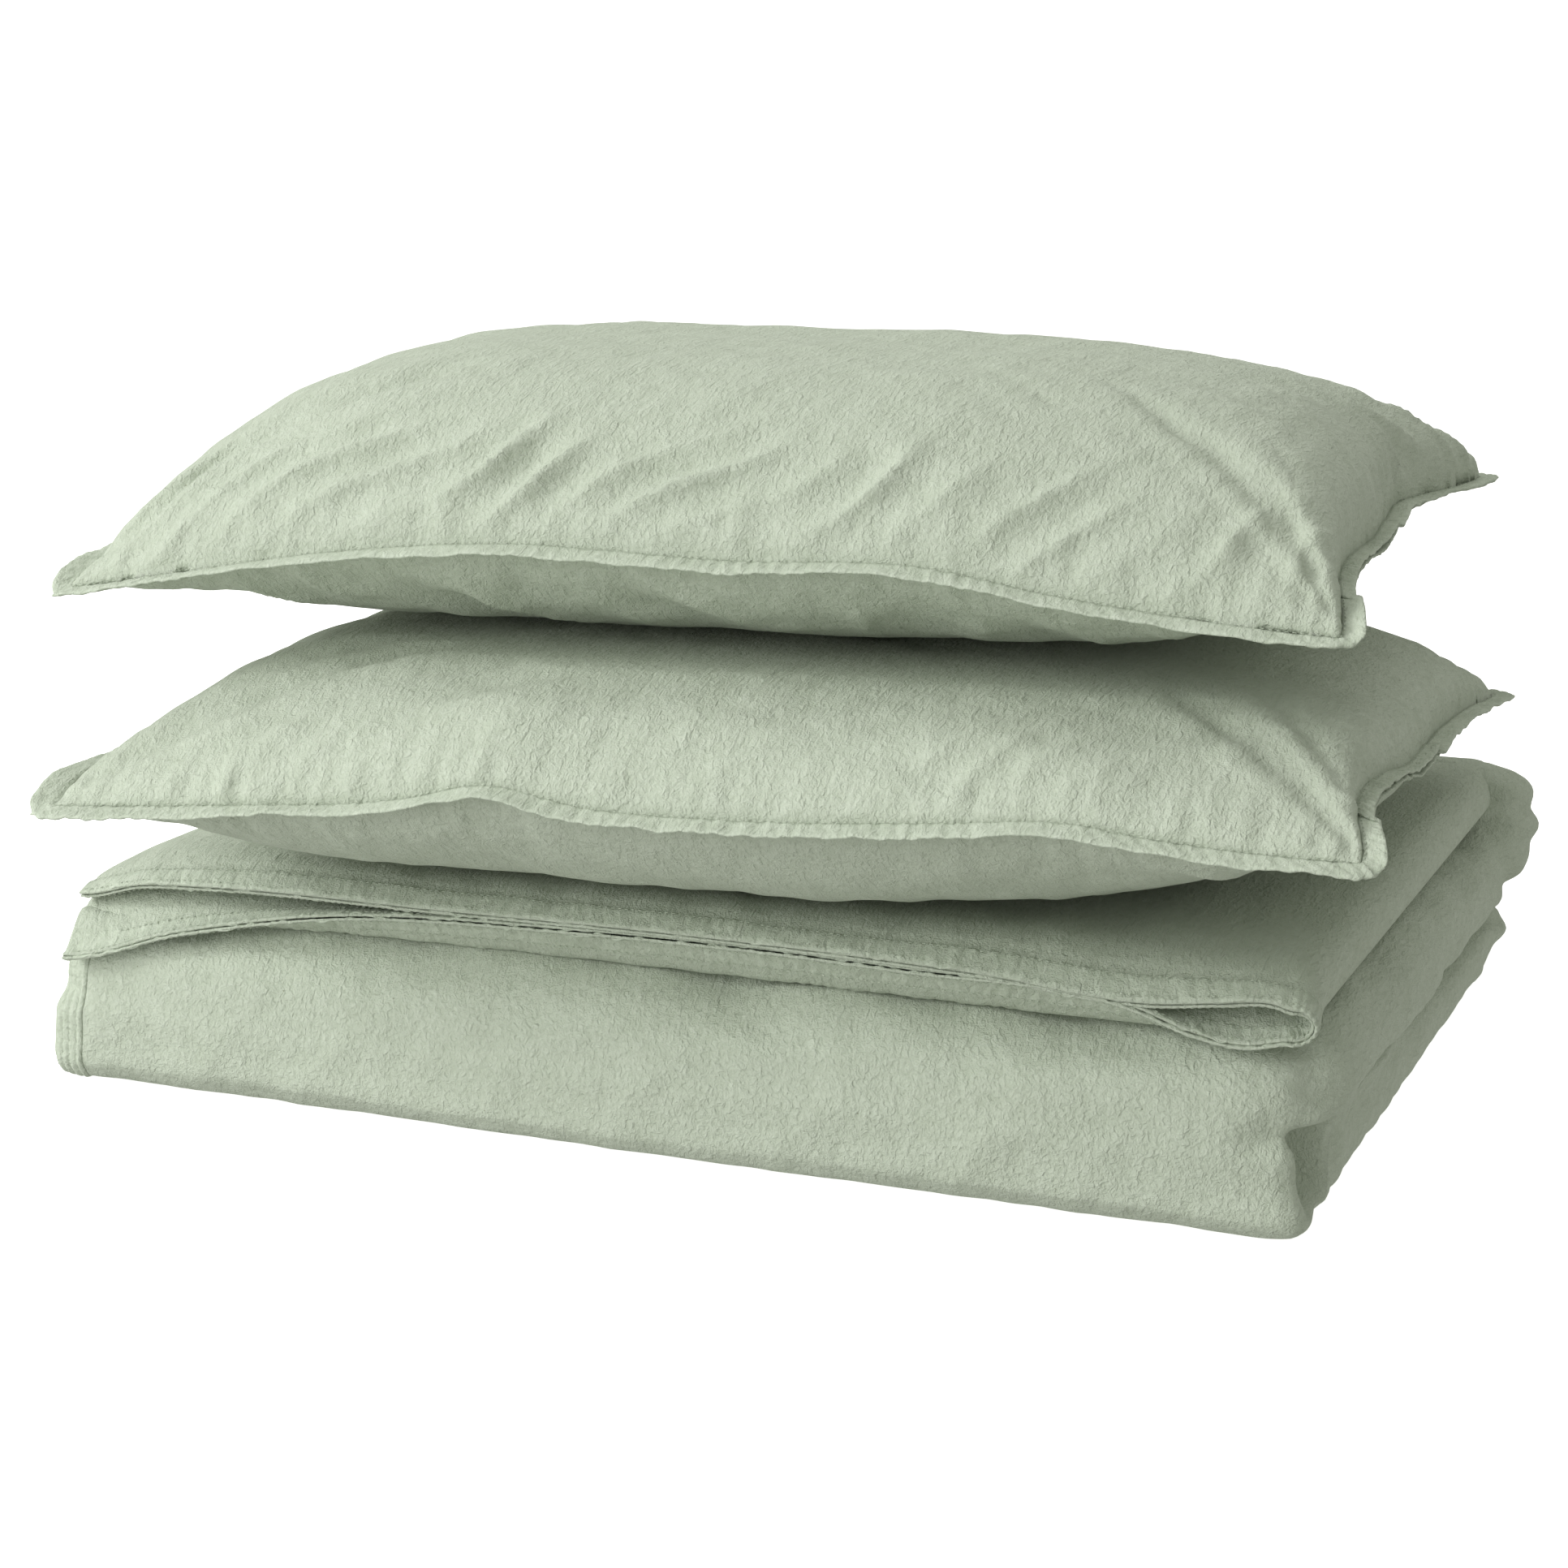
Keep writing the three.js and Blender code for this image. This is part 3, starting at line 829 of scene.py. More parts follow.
        def place(a: Array, b: Array) -> Array:
            """The strip, rolled into a flat tube.

            Args:
                a: -1 to 1 along it.
                b: -1 to 1 round its section.
            Returns:
                A row of x, y, z for each point.
            """
            u, v = self.route(a, opening)
            turn = b * math.pi
            out = width * (1 - np.cos(turn)) / 2 - 0.6 * MM
            xy = self.plan(u, v, out)
            share = out / width
            puff = np.sin(turn) * thick * (0.36 + 0.14 * np.cos(2 * turn))
            flat = np.column_stack([xy, np.zeros_like(u)])
            front = smooth(-v, 0.9, 1.0)
            z = self.seam(u, v) + lift + puff - self.droop * front * share
            gather = np.sin(2 * math.pi * a * long * 0.29 / 2 + 2.5 * waves(flat, 0.05, seed + 3))
            patchy = 0.5 + 0.5 * waves(flat, 0.08, seed + 4).clip(-1, 1)
            z = z + gather * patchy * 0.9 * MM * np.sin(share * math.pi * 0.8 + 0.4)
            z = z + waves(flat, 0.016, seed) * 0.4 * MM * (0.3 + share)
            z = z + waves(flat, 0.06, seed + 1) * 0.7 * MM * share
            return np.column_stack([xy, z])

        return seal(grid(name, long, 16, place))

    def edge(self, hem: bpy.types.Material) -> bpy.types.Object:
        """The flange round all but the open end.

        Args:
            hem: Its finish.
        Returns:
            The flange.
        """
        obj = self.strip(f"{self.name}_pillow_flange", False, self.flange, 0.0, 3.0 * MM, self.seed + 20)
        obj.data.materials.append(hem)
        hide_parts(f"{self.name}_case_flange")
        return obj

    def hems(self, hem: bpy.types.Material) -> list[bpy.types.Object]:
        """The two hems of the open end, one over the other.

        Args:
            hem: Their finish.
        Returns:
            The hems.
        """
        made = []
        for label, lift in (("upper", 1.3 * MM), ("lower", -1.3 * MM)):
            obj = self.strip(f"{self.name}_pillow_{label}_hem", True, self.opening_hem, lift, 2.0 * MM,
                             self.seed + (30 if lift > 0 else 40))
            obj.data.materials.append(hem)
            made.append(obj)
        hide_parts(f"{self.name}_case_opening_hem")
        return made

    def stitches(self, hem: bpy.types.Material) -> bpy.types.Object:
        """The topstitching beside the seam, above and below.

        Args:
            hem: The thread's finish.
        Returns:
            The stitching.
        """
        bm = bmesh.new()
        for opening in (False, True):
            u, v = self.route(np.linspace(-0.999, 0.999, 200 if opening else 1400), opening)
            xy = self.plan(u, v, 1.2 * MM)
            z = self.seam(u, v)
            for side in (1, -1):
                row = np.column_stack([xy, z + side * (2.4 if opening else 1.15) * MM])
                Stitching().row(bm, row, np.tile([0, 0, side], (len(row), 1)))
        obj = to_object(bm, f"{self.name}_pillow_stitching")
        obj.data.materials.append(hem)
        return obj


# ------------------------------------------------------------------ the duvet's lower fold
@dataclass
class FoldedBase:
    """The two runs of duvet that lie on the ground, with the bends at the front and at the back."""

    voxel: float = 4.6 * MM
    relax: Relax = Relax(frames=12, pressure=1.5, slack=0.012, cap=0.004, bending=0.5)
    seam_rows: tuple[float, ...] = (1.5 * MM, 5.5 * MM, 9.5 * MM, 14 * MM)  # in from the left end

    def __post_init__(self) -> None:
        """Reads the fold's size from the frame."""
        lo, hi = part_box("cover_outer_lower")
        back_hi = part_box("cover_back_bend")[1]
        self.left, self.right, self.front, self.top = lo.x, hi.x, lo.y, hi.z
        self.back = back_hi.y
        self.bend_radius = back_hi.z - self.top
        self.middle = self.top / 2

    def build(self, cloth: bpy.types.Material, hem: bpy.types.Material) -> list[bpy.types.Object]:
        """Makes the fold and its side seam.

        Args:
            cloth: The panels' finish.
            hem: The seam's finish.
        Returns:
            The pieces.
        """
        body = self.skin(cloth)
        pieces = [body, *self.side_seam(body, hem)]
        for piece in pieces:
            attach(piece, Body.BASE.value)
        return pieces

    def skin(self, cloth: bpy.types.Material) -> bpy.types.Object:
        """The cover over the quilt, settled as cloth.

        Args:
            cloth: The panels' finish.
        Returns:
            The skin.
        """
        bm = bmesh.new()
        top, mid, r = self.top, self.middle, self.bend_radius
        left, right, front, back = self.left, self.right, self.front, self.back
        slab(bm, (left, front + 0.033, 0), (right + 0.001, back, mid - 2 * MM), (0.014, 0.016, 0.0165))
        slab(bm, (left, front + 0.020, mid - 4 * MM), (right + 0.006, back - 0.016, top),
             (0.022, 0.022, 0.0208))
        slab(bm, (left - 0.012, front - 0.003, 0), (right - 0.003, front + 0.090, top),
             (0.016, 0.036, 0.0392))
        slab(bm, (left - 0.010, front - 0.006, 0), (right - 0.004, front + 0.060, mid + 2 * MM),
             (0.010, 0.012, 0.010))
        slab(bm, (left - 0.002, back - 2 * r, top - r), (right + 0.014, back, top + r - 1 * MM),
             (0.018, r * 0.98, r * 0.96))
        obj = fuse("folded_duvet", bm, self.voxel)
        p, n = points_of(obj), normals_of(obj)
        drift = waves(p, 0.17, 50) * 1.6 * MM + waves(p, 0.07, 51) * 0.8 * MM
        set_points(obj, p + n * (drift * smooth(p[:, 2], 0.004, 0.02))[:, None])
        self.relax.run(obj)
        subdivide(obj, 1)
        self.creases(obj)
        p, n = points_of(obj), normals_of(obj)
        set_points(obj, p + n * (waves(p, 0.026, 52) * 0.28 * MM)[:, None])
        self.settle(obj)
        obj.data.materials.clear()
        obj.data.materials.append(cloth)
        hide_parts("cover_outer_lower", "cover_inner_lower", "casing_outer_lower",
                    "casing_inner_lower", "wadding_lower", "quilt_back_bend", "cover_back_bend")
        return obj

    def creases(self, obj: bpy.types.Object) -> None:
        """Draws in the folded front end at the right and dents the cloth where the runs meet.

        Args:
            obj: The settled skin.
        """
        p, n = points_of(obj), normals_of(obj)
        x, y, z = p.T
        front = y - self.front
        end = smooth(x, self.right - 0.035, self.right - 0.012)
        pocket = (smooth(front, 0.004, 0.014) * (1 - smooth(front, 0.026, 0.036)) * smooth(z, 0.006, 0.016)
                  * (1 - smooth(z, 0.040, 0.047)))
        hood = np.exp(-((z - 0.050) / 0.0055) ** 2 - ((front - 0.022) / 0.013) ** 2)
        ridge = np.exp(-((front - 0.035 + 0.10 * (z - 0.02)) / 0.0035) ** 2) * (1 - smooth(z, 0.040, 0.050))
        lobe = np.exp(-((front - 0.052) / 0.010) ** 2 - ((z - 0.026) / 0.016) ** 2)
        p[:, 0] += end * (-0.015 * pocket + 0.006 * hood + 0.004 * ridge + 0.003 * lobe)
        side = smooth(x, self.right - 0.03, self.right - 0.01)
        swell = np.exp(-((z - 0.064) / 0.020) ** 2) * smooth(front, 0.01, 0.06)
        p[:, 0] += side * swell * 3.0 * MM
        lifted = smooth(z, 0.050, 0.078) * smooth(front, 0.02, 0.05) * (1 - smooth(y, 0.05, 0.16))
        p[:, 2] += side * lifted * 7.0 * MM
        line = through(y, ((-0.25, 0.050), (-0.13, 0.049), (0.0, 0.039), (0.16, 0.033), (0.26, 0.030)))
        away = p[:, 2] - line
        groove = np.exp(-(away / 0.0035) ** 2) * 8.0 - np.exp(-((np.abs(away) - 0.011) / 0.008) ** 2) * 1.5
        p[:, 0] -= side * smooth(front, 0.045, 0.075) * groove * MM
        toe = np.exp(-(p[:, 2] / 0.016) ** 2) * smooth(-p[:, 1], -self.front - 0.05, -self.front - 0.005)
        p[:, 1] -= toe * 4.0 * MM
        p[:, 0] += toe * smooth(p[:, 0], self.right - 0.05, self.right - 0.01) * 6.0 * MM
        tucks = np.sin(2 * math.pi * (z + 0.25 * y) / 0.021 + waves(p, 0.05, 55)) * smooth(y, 0.10, 0.22)
        p += n * (side * tucks * 1.8 * MM)[:, None]
        slope = (p[:, 0] - 0.6 * (p[:, 2] - 0.02) + waves(p, 0.12, 56) * 0.012) / 0.075
        low = smooth(-y, -self.front - 0.03, -self.front) * np.exp(-((p[:, 2] - 0.022) / 0.020) ** 2)
        p += n * (low * (1 - 2 * np.abs(np.sin(math.pi * slope)) ** 0.7) * 0.9 * MM)[:, None]
        set_points(obj, p)

    def settle(self, obj: bpy.types.Object) -> None:
        """Flattens the fold on the ground and under the run that lies on it.

        Args:
            obj: The creased skin.
        """
        p = points_of(obj)
        low = smooth(-p[:, 2], -0.006, 0.0)
        p[:, 2] = np.where(p[:, 2] < 6 * MM, p[:, 2] * (1 - low) + low * 0.3 * MM, p[:, 2])
        r = self.bend_radius
        under = ((p[:, 1] > self.front + 0.030) & (p[:, 1] < self.back - 1.6 * r) & (p[:, 2] > self.middle)
                 & (p[:, 0] < self.right - 0.03))
        p[:, 2] = np.where(under, np.minimum(p[:, 2], self.top), p[:, 2])
        p[:, 1] = np.minimum(p[:, 1], self.back + 0.012)
        p[:, 2] = np.maximum(p[:, 2], GROUND)
        set_points(obj, p)

    def side_seam(self, body: bpy.types.Object, hem: bpy.types.Material) -> list[bpy.types.Object]:
        """The felled seam round the left end of the front bend, and its rows of stitches.

        Args:
            body: The fold that it lies on.
            hem: Its finish.
        Returns:
            The band and the stitching.
        """
        tree = BVHTree.FromObject(body, bpy.context.evaluated_depsgraph_get())
        core = Vector((0, self.front + 0.045, self.middle))
        start, width = self.left - 0.008, 17 * MM

        def on_skin(a: float, b: float) -> tuple[Vector, Vector]:
            """Where a line from outside meets the fold.

            Args:
                a: -1 to 1 round the bend.
                b: -1 to 1 in from its left end.
            Returns:
                The point and the way that it faces.
            """
            angle = math.radians(95 + 128 * (a + 1) / 2)
            way = Vector((0, math.cos(angle), math.sin(angle)))
            at = Vector((start + width * (b + 1) / 2, core.y, core.z))
            hit, normal, _, _ = tree.ray_cast(at + way * 0.12, -way)
            return (hit, normal) if hit is not None else (at + way * 0.035, way)

        def place(a: Array, b: Array) -> Array:
            """The band, grooved along its stitch rows.

            Args:
                a: -1 to 1 round the bend.
                b: -1 to 1 in from its left end.
            Returns:
                A row of x, y, z for each point.
            """
            rows = []
            for i, j in zip(a, b):
                hit, normal = on_skin(i, j)
                into = width * (j + 1) / 2
                groove = sum(math.exp(-(((into - row) / (0.9 * MM)) ** 2)) for row in self.seam_rows)
                edge = float(smooth(1 - abs(j), 0, 0.12) * smooth(1 - abs(i), 0, 0.03))
                near = math.exp(-(((into - 8 * MM) / (7 * MM)) ** 2))
                pinch = 0.25 * math.sin(i * 150 + 7 * math.sin(i * 31)) * near
                rows.append(hit + normal * (edge * (1.3 - 0.75 * min(groove, 1) + pinch) * MM - 0.3 * MM))
            return np.array(rows)

        band = grid("side_seam_band", 190, 34, place)
        bm = bmesh.new()
        for row in self.seam_rows[1:]:
            j = 2 * row / width - 1
            points = [on_skin(i, j) for i in np.linspace(-0.97, 0.97, 120)]
            Stitching().row(bm, np.array([hit + normal * 0.5 * MM for hit, normal in points]),
                            np.array([normal for _, normal in points]))
        stitches = to_object(bm, "side_seam_stitching")
        for obj in (band, stitches):
            obj.data.materials.append(hem)
        thicken(band, 0.8 * MM)
        lifted = points_of(band)
        lifted[:, 2] = np.maximum(lifted[:, 2], GROUND)
        set_points(band, lifted)
        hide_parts("side_seam_lower")
        return [band, stitches]


# ------------------------------------------------------------------ the duvet's top fold
@dataclass
class TopFold:
    """The run that turns up at the back: two leaves folded round the right side, open at the cover's mouth."""

    panel: float = 1.1 * MM
    hem: float = 12 * MM
    ends: float = 0.945  # share of each half of the mouth that is straight
    reach: float = 0.592  # how far right the straight part goes
    lip_upper: Sequence[tuple[float, float]] = (  # height of the upper lip, by x
        (-0.30, 0.0880), (-0.262, 0.0970), (-0.23, 0.0992), (-0.1, 0.1008), (0.02, 0.1020), (0.153, 0.0995),
        (0.235, 0.0950), (0.262, 0.0985), (0.284, 0.1005), (0.292, 0.0985))
    lip_lower: Sequence[tuple[float, float]] = (
        (-0.30, 0.0600), (-0.24, 0.0760), (-0.165, 0.0900), (-0.036, 0.0965), (0.118, 0.0960),
        (0.225, 0.0905), (0.25, 0.0825), (0.272, 0.0797), (0.292, 0.0835))
    droop: Sequence[tuple[float, float]] = (  # how far the lower lip hangs forward, by x
        (-0.30, -0.013), (-0.24, -0.008), (-0.165, -0.002), (-0.1, 0.0), (0.3, 0.0))
    turn: float = 0.030  # cloth in the turn round the right side
    lining: float = 0.12  # how far the inner panel runs in
    under: float = 0.40  # how far the outer panel runs in below the lower leaf

    def __post_init__(self) -> None:
        """Reads the fold's size from the frame."""
        lo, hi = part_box("cover_outer_top")
        self.left, self.right = lo.x, hi.x
        self.base, self.top = lo.z, hi.z
        self.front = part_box("cover_outer_lower")[0].y
        joint = next(j for j in frame["joints"] if j["name"] == "top_fold_opens")
        self.axis_y, self.axis_z = joint["pos_m"][1], joint["pos_m"][2]

    def build(self, cloth: bpy.types.Material, hem: bpy.types.Material) -> list[bpy.types.Object]:
        """Makes the leaves, the panels and the mouth.

        Args:
            cloth: The panels' finish.
            hem: The mouth's finish.
        Returns:
            The pieces.
        """
        pieces = [self.pads(cloth), *self.panels(cloth), *self.hems(hem), *self.studs(), self.label()]
        for piece in pieces:
            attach(piece, Body.TOP.value)
        return pieces

    def sag(self, x: Array) -> Array:
        """How far the leaves hang at their left end."""
        return 0.017 * np.exp(-(x - self.left).clip(0) / 0.032)

    def pads(self, cloth: bpy.types.Material) -> bpy.types.Object:
        """The quilt in the two leaves.

        Args:
            cloth: The panels' finish.
        Returns:
            The leaves.
        """
        bm = bmesh.new()
        rear, nose = self.axis_y - 0.012, self.front + 0.026
        half = (self.base + self.top) / 2
        left, right = self.left + 4 * MM, self.right - 14 * MM
        slab(bm, (left, nose + 4 * MM, self.base + 1.2 * MM), (right, rear, half), (0.0075, 0.0075, 0.0072))
        slab(bm, (left, nose, half), (right, rear, self.top - 1.9 * MM), (0.0075, 0.0075, 0.0070))
        obj = fuse("top_fold_leaves", bm, 4 * MM)
        p, n = points_of(obj), normals_of(obj)
        p += n * (waves(p, 0.03, 60) * 0.3 * MM)[:, None]
        share = smooth(p[:, 2], self.base, self.top)
        p[:, 2] -= self.sag(p[:, 0]) * (0.35 + 0.65 * share)
        p[:, 2] = np.maximum(p[:, 2], self.base - 0.006 * np.exp(-(p[:, 0] - self.left).clip(0) / 0.03))
        set_points(obj, p)
        obj.data.materials.clear()
        obj.data.materials.append(cloth)
        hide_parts("wadding_top", "casing_outer_top", "casing_inner_top", "side_seam_upper_leaf",
                    "side_seam_lower_leaf")
        return obj

    def mouth(self, a: Array) -> tuple[Array, Array, Array]:
        """The mouth's edge, from the upper leaf's left end round the right side to the lower leaf's.

        Args:
            a: -1 to 1 along it.
        Returns:
            x, y and z of the edge.
        """
        bend = 1 - self.ends
        over = a < 0
        x = self.left + self.reach * np.minimum(1 - np.abs(a), self.ends) / self.ends
        far = np.array([self.left + self.reach])
        high, low = through(far, self.lip_upper)[0], through(far, self.lip_lower)[0]
        angle = np.clip(a / bend, -1, 1) * math.pi / 2
        near = np.abs(a) < bend
        z = np.where(over, through(x, self.lip_upper), through(x, self.lip_lower))
        z = np.where(near, (high + low) / 2 - np.sin(angle) * (high - low) / 2, z)
        x = np.where(near, x + np.cos(angle) * 0.009, x)
        y = self.front + 0.003 + np.where(over, 0.004 * smooth(-x, 0.26, 0.30), through(x, self.droop))
        y = y + 0.003 * np.where(near, np.cos(angle), 0)
        return x, y, z

    def section(self, a: Array, inner: bool) -> tuple[Array, Array]:
        """The leaves' outline well behind the mouth, in X and Z.

        Args:
            a: -1 to 1 along it, as for the mouth.
            inner: The inner panel's, and not the outer one's.
        Returns:
            x and z.
        """
        bend = 1 - self.ends
        middle = (self.base + self.top) / 2
        reach = (self.top - self.base) / 2 - 0.3 * MM
        radius = 1.6 * MM if inner else reach
        over = a < 0
        x = self.left + (self.right - self.left - reach) * np.minimum(1 - np.abs(a), self.ends) / self.ends
        angle = np.clip(a / bend, -1, 1) * math.pi / 2
        near = np.abs(a) < bend
        z = middle - np.sin(angle) * radius
        if not inner:
            lifted = smooth(x, self.right - 0.09, self.right - 0.02) * 7 * MM
            z = np.where(over & ~near, z - self.sag(x), z)
            z = np.where(a > 0, z + lifted * np.sin(np.abs(angle)), z)
        else:
            z = z - self.sag(x) * 0.6
        x = np.where(near, x + np.cos(angle) * (radius if inner else reach - 1 * MM), x)
        return x, z

    def outer(self, a: Array, run: Array) -> Array:
        """The outer panel, by how far along the mouth and how far in from it.

        Args:
            a: -1 to 1 along the mouth.
            run: Metres in from the edge.
        Returns:
            A row of x, y, z for each point.
        """
        ex, ey, ez = self.mouth(a)
        sx, sz = self.section(a, False)
        upper = smooth(-a, -0.05, 0.07)
        lap = self.top - self.axis_z + 0.6 * MM
        reach = self.axis_y - ey
        y = ey + np.minimum(run, reach)
        bend = np.clip(run - reach, 0, None) / lap
        y = y + np.sin(bend) * lap
        hug = smooth(run, 0.0, 0.045 * upper + 0.020 * (1 - upper))
        puffed = 1 - (1 - np.clip(run / 0.038, 0, 1)) ** 2.2
        x = ex + (sx - ex) * hug
        z = ez + (sz - ez) * (hug + (puffed - hug) * upper)
        z = z - (1 - np.cos(bend)) * lap
        p = np.column_stack([x, y, z])
        soft = waves(p, 0.12, 70, stretch=(1, 1, 3)) * 1.2 * MM
        soft += waves(p, 0.05, 71, stretch=(1, 1.5, 3)) * 0.8 * MM
        top_side = smooth(upper, 0.5, 1.0) * smooth(run, 0.0, 0.02)
        p[:, 2] += np.clip(soft, -0.9 * MM, 0.6 * MM) * top_side * (bend < 1e-6)
        folds = np.sin(2 * math.pi * (x + 0.5 * run) / 0.034 + waves(p, 0.1, 73) * 2)
        p[:, 2] += folds * 0.5 * MM * np.exp(-run / 0.03) * smooth(run, 0.004, 0.016)
        gathers = np.sin(2 * math.pi * x / 0.0075 + 2.5 * waves(p, 0.05, 75))
        gathers *= 0.5 + 0.5 * waves(p, 0.07, 76).clip(-1, 1)
        p[:, 2] += gathers * 0.45 * MM * np.exp(-((run - 0.015) / 0.007) ** 2)
        p[:, 2] -= 0.8 * MM * np.exp(-((run - 0.0135) / 0.0014) ** 2) * upper
        return p

    def inner(self, a: Array, run: Array) -> Array:
        """The inner panel, by how far along the mouth and how far in from it.

        Args:
            a: -1 to 1 along the mouth.
            run: Metres in from the edge.
        Returns:
            A row of x, y, z for each point.
        """
        ex, ey, ez = self.mouth(a)
        sx, sz = self.section(a, True)
        side = np.clip(a / (1 - self.ends), -1, 1)
        hug = smooth(run, 0.0, 0.030)
        x = ex - 1.5 * MM * np.where(np.abs(side) < 1, np.cos(side * math.pi / 2), 0)
        x = x + (sx - x) * hug
        z = ez + side * 1.7 * MM
        return np.column_stack([x, ey + 1.0 * MM + run, z + (sz - z) * hug])

    def panels(self, cloth: bpy.types.Material) -> tuple[bpy.types.Object, bpy.types.Object]:
        """The outer and inner panels of the cover, which meet along the mouth.

        Args:
            cloth: Their finish.
        Returns:
            The two panels.
        """
        deep = self.axis_y - self.front + (self.top - self.axis_z) * 1.1

        def outer(a: Array, b: Array) -> Array:
            """The outer panel, with its rows closer at the mouth.

            Args:
                a: -1 to 1 along the mouth.
                b: -1 to 1 in from it.
            Returns:
                A row of x, y, z for each point.
            """
            t = ((b + 1) / 2) ** 1.25
            upper = smooth(-a, -0.05, 0.07)
            return self.outer(a, t * (deep * upper + self.under * (1 - upper)))

        def inner(a: Array, b: Array) -> Array:
            """The inner panel.

            Args:
                a: -1 to 1 along the mouth.
                b: -1 to 1 in from it.
            Returns:
                A row of x, y, z for each point.
            """
            return self.inner(a, (b + 1) / 2 * self.lining)

        cover = grid("top_fold_cover", 400, 104, outer)
        lining = grid("top_fold_lining", 400, 30, inner)
        for obj, nodes in ((cover, ("cover_outer_top",)), (lining, ("cover_inner_top",))):
            area = sum(face.area for face in obj.data.polygons)
            thicken(obj, self.panel)
            obj.data.materials.clear()
            obj.data.materials.append(cloth)
            depth = deep if obj is cover else self.lining
            flat = (2 * (self.right - self.left) + self.turn, depth * 1.02)
            area = min(area, flat[0] * flat[1])
            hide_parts(*nodes)
        return cover, lining

    def band(self, name: str, surface: Callable[[Array, Array], Array], seed: int) -> bpy.types.Object:
        """A turned hem round the mouth: a flattened tube with a puckered edge.

        Args:
            name: Its name.
            surface: The panel that it ends.
            seed: What makes its puckers its own.
        Returns:
            The hem.
        """

        def place(a: Array, b: Array) -> Array:
            """The hem, rolled into a flat tube.

            Args:
                a: -1 to 1 along the mouth.
                b: -1 to 1 round its section.
            Returns:
                A row of x, y, z for each point.
            """
            turn = b * math.pi
            share = (1 - np.cos(turn)) / 2
            run = self.hem * share
            at, normal = facing(surface, a, run)
            arc = np.abs(a) * 0.6
            ridge = np.sin(2 * math.pi * arc / 0.0075 + 2.2 * waves(at, 0.04, seed))
            edge = 1 - share
            out = (np.sin(turn) * 1.25 * MM * (0.8 + 0.2 * np.cos(2 * turn))
                   + ridge * 0.35 * MM * (0.4 + 0.6 * edge)
                   + waves(at, 0.014, seed + 1) * 0.5 * MM * edge)
            p = at + normal * out[:, None]
            p[:, 1] += waves(at, 0.02, seed + 2) * 0.5 * MM * edge
            return p

        return seal(grid(name, 1300, 14, place))

    def hems(self, hem: bpy.types.Material) -> list[bpy.types.Object]:
        """The mouth's two hems and their stitching.

        Args:
            hem: Their finish.
        Returns:
            The hems and the stitching.
        """
        outer = self.band("mouth_outer_hem", self.outer, 80)
        inner = self.band("mouth_inner_hem", self.inner, 90)
        bm = bmesh.new()
        a = np.linspace(-0.998, 0.998, 1200)
        for surface, sign in ((self.outer, -1), (self.inner, 1)):
            for run in (2.0 * MM, self.hem - 2.0 * MM):
                at, normal = facing(surface, a, np.full_like(a, run))
                normal *= -sign
                Stitching().row(bm, at + normal * 1.15 * MM, normal)
        stitches = to_object(bm, "mouth_stitching")
        for obj in (outer, inner, stitches):
            obj.data.materials.append(hem)
        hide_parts("upper_hem_outer", "lower_hem_outer")
        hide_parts("upper_hem_inner", "lower_hem_inner")
        return [outer, inner, stitches]

    def studs(self) -> list[bpy.types.Object]:
        """The press studs between the lips.

        Returns:
            One object for each stud.
        """
        finish = Plain("stud_plastic", "DDE2D6", "D2D8CA", 0.35, 4 * MM).build()
        made = []
        for number in (1, 2, 3):
            for leaf, sign in (("upper", -1), ("lower", 1)):
                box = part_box(f"{leaf}_snap_socket_{number}")
                x = (box[0].x + box[1].x) / 2
                y = self.front + 0.026
                z = (self.base + self.top) / 2 - sign * 1.2 * MM - self.sag(np.array([x]))[0] * 0.6
                bm = bmesh.new()
                for radius, high, lift in ((5.2 * MM, 1.2 * MM, 0), (2.4 * MM, 1.4 * MM, 0.9 * MM)):
                    at = Matrix.Translation((x, y, z - sign * lift * 0.3))
                    bmesh.ops.create_cone(bm, cap_ends=True, segments=32, radius1=radius,
                                          radius2=radius * 0.9, depth=high, matrix=at)
                bmesh.ops.bevel(bm, geom=bm.edges[:], offset=0.15 * MM, segments=2, profile=0.5,
                                affect="EDGES", material=-1)
                obj = to_object(bm, f"{leaf}_press_stud_{number}")
                obj.data.materials.append(finish)
                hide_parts(f"{leaf}_snap_socket_{number}", f"{leaf}_snap_stud_{number}")
                made.append(obj)
        return made

    def label(self) -> bpy.types.Object:
        """A small blank care tape sewn in the mouth's seam.

        Returns:
            The tape.
        """
        finish = Plain("woven_tape", "F1F1EC", "E6E7E0", 0.7, 0.8 * MM).build()
        lo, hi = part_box("care_label")
        x = (lo.x + hi.x) / 2
        z = (self.base + self.top) / 2 - self.sag(np.array([x]))[0] * 0.6
        wide, long = 18 * MM, 32 * MM

        def place(a: Array, b: Array) -> Array:
            """The tape, with a slight curl.

            Args:
                a: -1 to 1 across it.
                b: -1 to 1 along it.
            Returns:
                A row of x, y, z for each point.
            """
            y = self.front + 0.030 + long * (b + 1) / 2
            return np.column_stack([x + a * wide / 2, y, z + 0.5 * MM * np.sin(b * 2.5) * 0.5])

        obj = grid("care_tape", 18, 32, place)
        thicken(obj, 0.35 * MM)
        obj.data.materials.clear()
        obj.data.materials.append(finish)
        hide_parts("care_label")
        return obj


